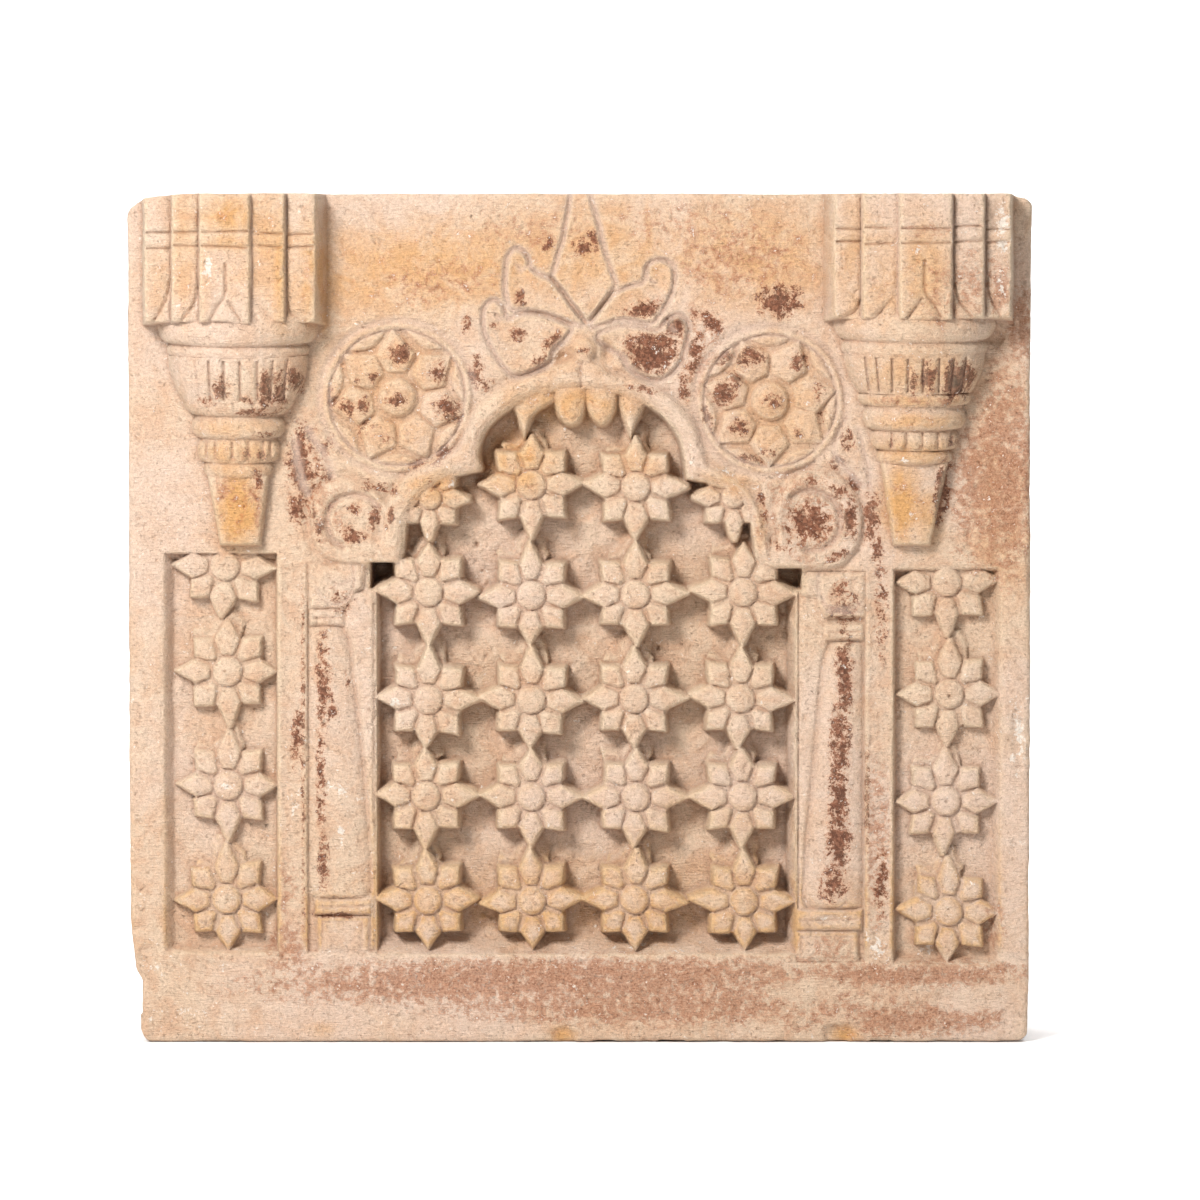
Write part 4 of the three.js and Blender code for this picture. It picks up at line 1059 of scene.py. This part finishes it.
# Where time has marked the stone: centre across and up, half sizes, strength, and a lean in radians if any.
DARK = [
    (-119, 459.5, 7, 8, 1), (-93.3, 446.6, 5.5, 8, 1), (-87.2, 421.5, 10, 8, 1, -0.6),
    (-122.4, 427.6, 8, 5, 0.8), (-154.3, 422.9, 5, 7, 0.9, 0.5), (-143.4, 425, 4, 6, 0.8),
    (-137.3, 443, 3, 4, 0.9, -0.5), (-147.5, 440, 2.5, 2.5, 0.8), (-165, 428, 3, 8, 0.8),
    (-91.3, 393, 11, 5, 0.7, 0.8), (-106.8, 386.5, 7, 3, 0.8, 0.5), (-68.9, 447, 5, 11, 0.9),
    (-75.7, 478, 3, 6, 0.8), (-169, 396, 4, 10, 0.8, -0.5), (-22.4, 530.4, 3, 6, 1, -0.5),
    (1, 529.4, 8, 6, 0.9), (9.7, 534, 4, 7, 0.9, 0.4), (-39.9, 495, 4, 7, 0.9),
    (41.9, 487.6, 15, 6, 1, 0.25), (-40.9, 471, 6, 5, 0.8, -0.5), (-18.5, 466, 9, 5, 1, 0.7),
    (-26.3, 453.5, 5, 8, 0.8, -0.3), (-56.5, 476, 3.5, 3.5, 0.8), (47.7, 459, 21, 15, 1.15),
    (63.3, 477.5, 8, 8, 1.1), (76, 457.4, 4, 15, 0.9), (76.9, 482.7, 4, 5, 0.8),
    (40.9, 436, 13, 3, 0.7, -0.2), (-61.3, 438, 6, 4, 0.7, 0.5), (2, 461.3, 5, 3, 0.6),
    (132.3, 493, 15, 11, 1.1), (87.3, 479, 9, 7, 0.9, -0.4), (76, 464.7, 6, 10, 0.8),
    (69.6, 437, 4, 11, 0.8), (95.3, 456.6, 7, 4, 0.9, 0.7), (113, 456.6, 11, 6, 1), (145, 453.4, 6, 6, 0.9),
    (95.3, 432.5, 8, 9, 1.05), (84, 416.4, 3.5, 12, 0.8, 0.3), (105, 410, 7, 6, 0.8),
    (125.9, 427.6, 8, 5, 0.7), (113, 389, 10, 4, 0.7, -0.2), (145, 406.7, 3, 4, 0.6),
    (151.6, 347.5, 15, 14, 1.05), (178.9, 350.4, 5, 18, 1), (156.4, 374.6, 8, 3, 0.7),
    (170.9, 367, 8, 5, 0.8, -0.6), (121, 360, 3, 12, 0.7, 0.2), (193.4, 350, 6, 20, 0.9),
    (-154.4, 339.5, 6, 6, 0.9), (-136, 350, 4, 10, 0.9, -0.3), (-149.8, 337, 8, 4, 0.8),
    (-176.4, 352.5, 2, 9, 0.8), (-171.9, 341, 2.5, 8, 0.8, -0.4), (-166.5, 356, 4, 4, 0.7),
    (-127.7, 369, 8, 4, 0.6, -0.3), (-184.8, 384, 9, 26, 1.0, 0.1), (-169.6, 377.7, 5, 5, 0.8),
    (-187.9, 356, 6, 12, 0.9), (-181, 404, 6, 9, 0.8), (-207.3, 435, 5, 13, 1.1), (-197.8, 435, 5, 14, 1.1),
    (-187.7, 442, 5, 9, 1.0, 0.4), (-217.9, 428.6, 6, 3, 0.7), (-213.7, 420.4, 15, 3, 0.8),
    (-207.3, 405.7, 9, 2, 0.8, 0.1), (-220, 393.6, 5, 4, 0.7), (-210.5, 392.5, 4, 4, 0.6),
    (247.5, 440.5, 9, 13, 1.5), (229.5, 444, 7, 10, 1.0), (219.2, 440.5, 4, 9, 0.8),
    (256.5, 446, 4, 9, 1.2, 0.4), (239.3, 366, 4.5, 20, 1.35, -0.12), (243, 383, 3, 7, 0.8),
    (248.1, 400.3, 5, 4, 0.8), (206.3, 399.5, 4, 4, 0.6), (-170.6, 241, 5, 34, 0.85),
    (-164.7, 223, 4, 7, 0.8), (-172.5, 178, 3, 46, 0.8), (-170.6, 121, 4, 20, 0.75), (-155, 241, 2, 8, 0.7),
    (-162.8, 85, 15, 2.5, 0.8), (-188, 204, 4, 21, 0.8, -0.1), (-184, 237, 1.6, 62, 0.75),
    (-184, 160, 1.6, 40, 0.7), (-184, 95, 1.6, 30, 0.5), (171.8, 162, 7, 26, 0.95), (172, 133, 9, 26, 0.95),
    (168.3, 105, 10, 13, 0.8), (200.3, 106, 5, 22, 0.8), (191, 165, 2, 40, 0.7), (175.5, 245, 6, 32, 0.95),
    (173, 200, 7, 30, 0.9), (175, 290, 11, 12, 0.75), (173, 304, 6, 5, 0.8), (200, 290, 5, 40, 0.5),
    (-98, 372, 6, 6, 0.35), (-158, 296, 9, 9, 0.6), (-143, 410, 7, 4, 0.6, 0.4), (-128, 402, 5, 3, 0.55),
    (-140, 372, 6, 4, 0.7, 0.4), (-149, 356, 5, 4, 0.75), (-126, 352, 2.5, 10, 0.7, -0.2),
    (103, 443, 5, 7, 0.85), (158, 434, 4, 6, 0.6), (160, 417, 4, 5, 0.55), (128, 393, 8, 3, 0.6),
    (171, 386, 6, 5, 0.8, 0.5), (182, 374, 5, 8, 0.8), (136, 332, 9, 4, 0.6), (171, 325, 8, 4, 0.75, 0.5),
    (197, 330, 4, 12, 0.75), (177, 402, 5, 9, 0.7, 0.3), (-236, 437, 6, 8, 0.8), (-246, 428, 6, 4, 0.6),
    (-213, 375, 3, 12, 0.7),
]
BROWN = [
    (-20, 42, 190, 15, 1.0, 0.02), (60, 24, 150, 12, 0.85), (215, 46, 90, 9, 1.0),
    (225, 15, 75, 10, 1.0, 0.05), (-100, 40, 120, 14, 0.75), (-195, 64, 14, 16, 0.75),
    (-195, 104, 7, 18, 0.5), (280, 380, 22, 70, 0.95), (262, 372, 16, 38, 0.85), (292, 477, 9, 26, 0.9),
    (272, 330, 26, 20, 0.5), (276, 78, 8, 18, 0.6), (277, 498, 9, 22, 0.6), (198, 130, 8, 60, 0.6),
    (168, 63, 13, 9, 0.6), (108, 520, 46, 22, 0.55, 0.1), (75, 545, 60, 14, 0.3),
    (-95, 505, 40, 14, 0.4, 0.1), (-30, 540, 40, 16, 0.3), (-165.5, 350, 12, 30, 0.35),
    (78, 460, 14, 30, 0.6), (150, 350, 34, 34, 0.5), (-178, 378, 16, 36, 0.5), (-214.7, 367, 6, 9, 0.8),
    (-212, 352, 3, 16, 0.6), (-233, 370, 10, 10, 0.4), (238, 500, 12, 24, 0.5), (258, 505, 10, 22, 0.6),
    (275, 505, 8, 20, 0.7), (226, 540, 20, 6, 0.4), (213, 428, 20, 3, 0.6), (236, 427, 20, 3, 0.7),
    (200, 60, 14, 10, -0.6), (172, 8, 16, 9, -0.8, 0.2), (262, 25, 20, 8, -0.6, 0.3),
    (292, 22, 14, 20, -0.6), (150, 32, 26, 10, -0.5, 0.4), (-64, 380, 6, 6, 0.3), (-66, 374, 9, 5, 0.3),
]
OCHRE = [
    (-110, 515, 110, 30, 0.75, 0.05), (20, 525, 90, 34, 0.6), (110, 520, 60, 34, 0.7),
    (-229, 550, 18, 12, 0.95), (-227, 533, 17, 6, 0.7), (-196, 515, 6, 40, 0.9), (-178, 515, 9, 34, 0.85),
    (-169, 510, 5, 40, 1.0), (-205, 535, 9, 26, 0.6), (-246, 510, 5, 30, 0.35), (-278, 500, 8, 22, 0.4),
    (-260, 520, 8, 40, 0.5), (-226, 355, 14, 26, 1.3), (-226, 394, 26, 9, 0.7), (-226, 410, 30, 6, 0.5),
    (-226, 382, 22, 6, 0.5), (222, 395, 28, 8, 0.8), (222, 414, 34, 6, 0.7), (222, 390, 26, 5, 0.7),
    (212, 360, 14, 28, 1.1), (230, 350, 10, 20, 0.8), (222, 428, 34, 4, 0.7), (222, 445, 46, 16, 0.45),
    (200, 510, 14, 34, 0.5), (226, 515, 18, 36, 0.6), (182, 520, 12, 40, 0.55), (280, 360, 20, 60, 0.5),
    (-121, 430, 46, 46, 0.45), (126, 427, 46, 46, 0.45), (-40, 385, 26, 20, 0.95), (-6, 425, 46, 14, 0.8),
    (-98, 370, 20, 12, 0.75), (96, 372, 20, 10, 0.6), (40, 388, 20, 12, 0.4), (0, 480, 66, 40, 0.3),
    (0, 95, 150, 26, 0.35), (-172, 8, 9, 6, 0.5), (176, 5, 9, 6, 1.0), (-11, 5, 8, 6, 1.0),
    (120, 345, 4, 16, 0.6),
]
PALE = [
    (-160.8, 169, 6, 6, 1.0, 0.4), (-158, 140, 4, 6, 0.9), (-162.8, 122, 2.5, 5, 0.8),
    (-160.8, 211, 3, 2, 0.9, 0.6), (-190, 161, 5, 9, 0.9), (-243.5, 514, 4, 8, 1.0), (-253, 505, 3, 4, 0.5),
    (-235, 172, 5, 2.5, 0.9), (-124, 227, 5, 4, 0.9, 0.3), (292, 205, 5, 26, 1.0, 0.1),
    (286, 190, 3, 4, 0.8), (197.9, 64, 9, 11, 0.8), (278, 540, 6, 22, 1.1), (276, 509, 3, 8, 0.9),
    (97, 380, 9, 2.5, 0.9, -0.3), (116, 368, 4, 6, 0.8, -0.6), (164, 84, 10, 2, 0.7, 0.1),
    (45, 62, 60, 2.2, 0.55), (50, 463, 4, 4, 0.9), (60, 452, 8, 2, 0.7, 0.4), (235, 82, 8, 3, 0.6),
    (232, 60, 5, 6, 0.7, 0.6), (287, 132, 3, 2, 0.8), (215, 388, 3, 2, 1.1, 0.6), (-290, 144, 4, 5, 0.6),
    (-276, 48, 12, 10, 0.4), (-260, 20, 30, 12, 0.4), (-225, 380, 5, 1.5, 0.8), (74, 398, 2.5, 20, 0.6),
    (210, 335, 4, 2, 0.6), (220, 350, 4, 4, 0.5), (-66, 385, 3, 2, 0.6),
]


MARK_FADE = 1.55  # a mark ends at this many times its half sizes


def patches(x, z, marks, sharp=1.6):
    """The weight of a set of marks at the points; a larger `sharp` fades them sooner."""
    weight = np.zeros_like(x)
    for x0, z0, rx, rz, strength, *lean in marks:
        reach = MARK_FADE * 1.1 * max(rx, rz)
        near = (np.abs(x - x0) < reach) & (np.abs(z - z0) < reach)
        r = oval(x[near] - x0, z[near] - z0, rx, rz, *lean)
        amount = strength * ease((MARK_FADE - r) / sharp)
        if strength < 0:  # takes away from the marks before it
            weight[near] += amount
        else:
            weight[near] = np.maximum(weight[near], amount)
    return np.clip(weight, 0, 2)


def sampled(relief, field, x, z):
    """A field of the front's grid at free points."""
    u = np.clip((x - LEFT) / (RIGHT - LEFT) * relief.columns, 0, relief.columns - 1.001)
    v = np.clip((z - BASE) / (TOP - BASE) * relief.rows, 0, relief.rows - 1.001)
    i, k = u.astype(int), v.astype(int)
    fu, fv = u - i, v - k
    near = field[k, i] * (1 - fu) + field[k, i + 1] * fu
    far = field[k + 1, i] * (1 - fu) + field[k + 1, i + 1] * fu
    return near * (1 - fv) + far * fv


def colour_weights(made, relief):
    """Writes the weights that the material reads on to the mesh's points."""
    mesh = made.data
    place = np.zeros(len(mesh.vertices) * 3, np.float32)
    mesh.vertices.foreach_get("co", place)
    x, y, z = (place.reshape(-1, 3).T / MM).astype(float)
    spread = max(1, round(10 * (FULL_STEP / STEP) ** 2))
    crest = relief.forward - blurred(relief.forward, spread)
    forward = sampled(relief, relief.forward, x, z)
    front = ease(1.6 - np.abs(FACE_Y - forward - y) / 2.5)
    sharp = sampled(relief, crest, x, z) * front
    low_rows = ease((140 - z) / 60) + 0.35 * ease((200 - z) / 50)
    in_relief = ease((z - 60) / 6)
    weights = {
        "dark": patches(x, z, DARK) * front,
        "brown": patches(x, z, BROWN, 1.2) * front,
        "ochre": patches(x, z, OCHRE, 1.3) * front + low_rows * in_relief * ease(sharp / 1.2) * 0.9,
        "pale": patches(x, z, PALE) * front,
        "cut": sampled(relief, relief.cut, x, z) * front,
        # crest: how far a point stands above its neighbours; the material paints a highlight there
        "crest": np.clip(sharp / 1.5, 0, 1),
        # hollow: how far a point sinks below its neighbours; the material paints shade there
        "hollow": np.clip(-sharp / 1.5, 0, 1),
        "front": front,
    }
    for name, value in weights.items():
        layer = mesh.attributes.new(name, "FLOAT", "POINT")
        layer.data.foreach_set("value", value.astype(np.float32))


# ---- material


class Nodes:
    """A small hand for building a material's tree."""

    def __init__(self, tree):
        self.tree = tree

    def add(self, kind, **settings):
        node = self.tree.nodes.new(kind)
        for name, value in settings.items():
            setattr(node, name, value)
        return node

    def link(self, source, target):
        self.tree.links.new(source, target)

    def put(self, socket, value):
        if isinstance(value, bpy.types.NodeSocket):
            self.link(value, socket)
        else:
            socket.default_value = value

    def weight(self, name):
        return self.add("ShaderNodeAttribute", attribute_name=name).outputs["Fac"]

    def math(self, operation, a, b=0.0, clamp=False):
        node = self.add("ShaderNodeMath", operation=operation, use_clamp=clamp)
        self.put(node.inputs[0], a)
        self.put(node.inputs[1], b)
        return node.outputs[0]

    def times(self, a, b):
        return self.math("MULTIPLY", a, b)

    def ramp(self, value, low, high, to_low=0.0, to_high=1.0):
        node = self.add("ShaderNodeMapRange", interpolation_type="SMOOTHSTEP")
        for k, v in enumerate((value, low, high, to_low, to_high)):
            self.put(node.inputs[k], v)
        return node.outputs[0]

    def noise(self, scale, detail=4.0, rough=0.55, stretch=None, warp=0.0):
        coordinates = self.add("ShaderNodeTexCoord").outputs["Object"]
        if stretch:
            mapping = self.add("ShaderNodeMapping")
            self.link(coordinates, mapping.inputs["Vector"])
            mapping.inputs["Rotation"].default_value = stretch[0]
            mapping.inputs["Scale"].default_value = stretch[1]
            coordinates = mapping.outputs[0]
        node = self.add("ShaderNodeTexNoise")
        self.link(coordinates, node.inputs["Vector"])
        node.inputs["Scale"].default_value = scale
        node.inputs["Detail"].default_value = detail
        node.inputs["Roughness"].default_value = rough
        node.inputs["Distortion"].default_value = warp
        return node.outputs["Fac"]

    def mix(self, factor, a, b, kind="MIX"):
        node = self.add("ShaderNodeMix", data_type="RGBA", blend_type=kind)
        node.clamp_factor = True
        self.put(node.inputs["Factor"], factor)
        self.put(node.inputs["A"], a if isinstance(a, bpy.types.NodeSocket) else (*a, 1))
        self.put(node.inputs["B"], b if isinstance(b, bpy.types.NodeSocket) else (*b, 1))
        return node.outputs["Result"]


LIGHT = 1.44  # how bright the studio light makes a surface that faces it


def linear(*rgb):
    """Colours are named as they look in the studio light, 0 to 255."""
    return tuple(((v / 255 + 0.055) / 1.055) ** 2.4 / LIGHT for v in rgb)


TONES = {
    "stone": linear(237, 209, 188), "warm stone": linear(235, 206, 178), "cloud": linear(224, 182, 150),
    "ochre": linear(226, 172, 112), "rust": linear(190, 112, 62), "halo": linear(198, 136, 96),
    "deep brown": linear(166, 106, 74), "light brown": linear(204, 152, 120),
    "deep stain": linear(104, 58, 40), "light stain": linear(150, 96, 72), "soot": linear(58, 38, 34),
    # The hollows' tone is painted shade and the crests' tone is a painted highlight
    "cut": linear(228, 202, 184), "hollow shade": linear(180, 136, 106), "crest": linear(248, 224, 188),
    "crust": linear(252, 240, 226), "fleck": linear(250, 234, 214),
}


def sandstone():
    """The stone, with its stains, fresh cuts and crusts, shade painted into its hollows and a highlight
    painted on its crests, laid one over another.
    """
    material = bpy.data.materials.new("sandstone")
    material.use_nodes = True
    material.node_tree.nodes.clear()
    n = Nodes(material.node_tree)
    broad = n.noise(9, 3, 0.5)
    middle = n.noise(48, 7, 0.68, warp=0.8)
    fine = n.noise(420, 4, 0.65)
    grit = n.noise(1500, 3, 0.7)
    splotch = n.noise(170, 6, 0.68, warp=0.4)
    crumb = n.noise(620, 5, 0.7)
    stone = n.mix(n.ramp(broad, 0.38, 0.62), TONES["stone"], TONES["warm stone"])

    def coat(amount, weight, tone):
        nonlocal stone
        stone = n.mix(n.times(weight, amount), stone, tone)

    def broken(name, by_splotch, by_crumb):
        """A weight with noise added, so that its edge breaks up."""
        edge = n.math("ADD", n.weight(name), n.times(n.math("SUBTRACT", splotch, 0.5), by_splotch))
        return n.math("ADD", edge, n.times(n.math("SUBTRACT", crumb, 0.5), by_crumb))

    coat(1.0, n.times(n.ramp(middle, 0.36, 0.72), n.ramp(broad, 0.36, 0.6, 0.45, 1.0)), TONES["cloud"])
    coat(1.0, n.times(n.weight("ochre"), n.ramp(middle, 0.30, 0.62, 0.45, 1.0)), TONES["ochre"])
    coat(0.6, n.math("MULTIPLY", n.weight("ochre"), n.ramp(splotch, 0.52, 0.68), True), TONES["rust"])

    brown = n.times(n.ramp(broken("brown", 4.2, 2.2), 0.18, 0.95), n.ramp(n.weight("brown"), 0.0, 0.3))
    coat(0.8, brown, n.mix(n.ramp(crumb, 0.4, 0.62), TONES["deep brown"], TONES["light brown"]))

    edge = broken("dark", 3.4, 2.2)
    coat(0.5, n.times(n.ramp(edge, 0.05, 0.50), n.ramp(n.weight("dark"), 0.0, 0.3)), TONES["halo"])
    stain = n.mix(n.ramp(fine, 0.42, 0.6), TONES["deep stain"], TONES["light stain"])
    stain = n.mix(n.ramp(n.weight("dark"), 1.15, 1.5), stain, TONES["soot"])
    coat(0.92, n.times(n.ramp(edge, 0.40, 0.62), n.ramp(n.weight("dark"), 0.0, 0.2)), stain)

    coat(0.85, n.times(n.weight("cut"), n.ramp(middle, 0.3, 0.6, 0.6, 1.0)), TONES["cut"])
    # Painted shade: the hollows and creases darkened towards brown, where shade falls
    coat(0.55, n.times(n.weight("hollow"), n.ramp(fine, 0.4, 0.6, 0.35, 1.0)), TONES["hollow shade"])
    # Painted highlight: the crests and arrises lightened as if light caught them
    coat(0.40, n.weight("crest"), TONES["crest"])
    coat(0.85, n.ramp(broken("pale", 4.5, 2.5), 0.7, 0.9), TONES["crust"])
    coat(0.5, n.ramp(n.noise(260, 2, 0.5), 0.73, 0.78), TONES["fleck"])

    grain = n.times(n.ramp(grit, 0.35, 0.65, 0.86, 1.09), n.ramp(fine, 0.35, 0.65, 0.90, 1.07))
    grey = n.add("ShaderNodeCombineColor")
    for socket in grey.inputs[:3]:
        n.put(socket, grain)
    stone = n.mix(1.0, stone, grey.outputs[0], "MULTIPLY")

    scratch = n.noise(150, 3, 0.6, stretch=((0, 0.72, 0), (1, 1, 7)))
    scratch_back = n.noise(120, 2, 0.6, stretch=((0, -0.5, 0), (1, 1, 9)))
    height = n.times(grit, 0.35)
    for layer, amount in ((fine, 0.9), (scratch, 0.8), (scratch_back, 0.4), (n.ramp(crumb, 0.30, 0.42), 0.5)):
        height = n.math("ADD", height, n.times(layer, amount))
    bump = n.add("ShaderNodeBump")
    bump.inputs["Strength"].default_value = 0.9
    bump.inputs["Distance"].default_value = 0.0016
    n.link(height, bump.inputs["Height"])

    shader = n.add("ShaderNodeBsdfPrincipled")
    n.link(stone, shader.inputs["Base Color"])
    n.link(n.ramp(fine, 0.3, 0.7, 0.86, 0.98), shader.inputs["Roughness"])
    n.link(bump.outputs[0], shader.inputs["Normal"])
    shader.inputs["Specular IOR Level"].default_value = 0.25
    n.link(shader.outputs[0], n.add("ShaderNodeOutputMaterial").inputs["Surface"])
    return material


# ---- the piece

relief = carve()
panel = thinned(mesh_object("carved_panel", *closed_mesh(relief)), TRIANGLES)
panel.data.materials.clear()
panel.data.materials.append(sandstone())
panel.data.polygons.foreach_set("use_smooth", np.ones(len(panel.data.polygons), bool))
colour_weights(panel, relief)
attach(panel, "root")
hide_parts("relief_panel")

# ---- floor, light and camera


def plain(name, colour, roughness):
    material = bpy.data.materials.new(name)
    material.use_nodes = True
    shader = material.node_tree.nodes["Principled BSDF"]
    shader.inputs["Base Color"].default_value = (*colour, 1)
    shader.inputs["Roughness"].default_value = roughness
    return material


def floor_sheet():
    """A pale floor that curves up into a backdrop far behind."""
    half, front, bend, back, height = 9.0, -5.0, 3.0, 5.0, 7.0
    profile = [(front, 0.0)]
    for k in range(13):
        turn = k / 12 * math.pi / 2
        profile.append((bend + (back - bend) * math.sin(turn), (back - bend) * (1 - math.cos(turn))))
    profile.append((back, height))
    points = [(side, y, z) for y, z in profile for side in (-half, half)]
    faces = [(2 * k, 2 * k + 1, 2 * k + 3, 2 * k + 2) for k in range(len(profile) - 1)]
    mesh = bpy.data.meshes.new("floor")
    mesh.from_pydata(points, [], faces)
    sheet = bpy.data.objects.new("floor", mesh)
    bpy.context.scene.collection.objects.link(sheet)
    mesh.materials.append(plain("floor_white", (0.93, 0.93, 0.935), 0.9))
    for face in mesh.polygons:
        face.use_smooth = True


floor_sheet()


def soft_light(name, place, target, size, watts, colour=(1, 1, 1)):
    data = bpy.data.lights.new(name, "AREA")
    data.shape = "RECTANGLE"
    data.size, data.size_y = size
    data.energy = watts
    data.color = colour
    lamp = bpy.data.objects.new(name, data)
    bpy.context.scene.collection.objects.link(lamp)
    lamp.location = place
    lamp.rotation_euler = (Vector(target) - Vector(place)).to_track_quat("-Z", "Y").to_euler()
    return lamp


CENTRE = Vector((0, 0, (BASE + TOP) / 2 * MM))


def lit_from(azimuth, elevation, distance):
    """A place around the panel: degrees to the right of straight ahead, degrees up, metres."""
    a, e = math.radians(azimuth), math.radians(elevation)
    return CENTRE + Vector((math.sin(a) * math.cos(e), -math.cos(a) * math.cos(e), math.sin(e))) * distance


soft_light("key", lit_from(-27, 31, 2.6), CENTRE, (0.7, 0.7), 92, (1, 0.985, 0.965))
soft_light("fill", lit_from(36, 12, 3.2), CENTRE, (2.0, 1.6), 8, (0.97, 0.985, 1))
soft_light("top", (0.8, -0.7, 3.1), (0.5, -0.3, 0), (2.6, 2.0), 30)
soft_light("backdrop", (0.6, 1.6, 2.6), (0.2, 3.2, 0.4), (3.0, 1.0), 160)

world = bpy.data.worlds.new("studio")
world.use_nodes = True
sky = world.node_tree.nodes["Background"]
sky.inputs["Color"].default_value = (1, 1, 1, 1)
sky.inputs["Strength"].default_value = 0.24
bpy.context.scene.world = world
bpy.context.scene.view_settings.view_transform = "Standard"

DISTANCE = 4.5
ELEVATION = math.radians(3.2)
LENS, SENSOR = 203.4, 36
AIM = Vector((0.0133, FACE_Y * MM, 0.2953))
camera_data = bpy.data.cameras.new("camera")
camera_data.lens = LENS
camera_data.sensor_width = SENSOR
camera = bpy.data.objects.new("camera", camera_data)
bpy.context.scene.collection.objects.link(camera)
camera.location = AIM + Vector((0, -math.cos(ELEVATION), math.sin(ELEVATION))) * DISTANCE
camera.rotation_euler = (AIM - camera.location).to_track_quat("-Z", "Y").to_euler()
bpy.context.scene.camera = camera
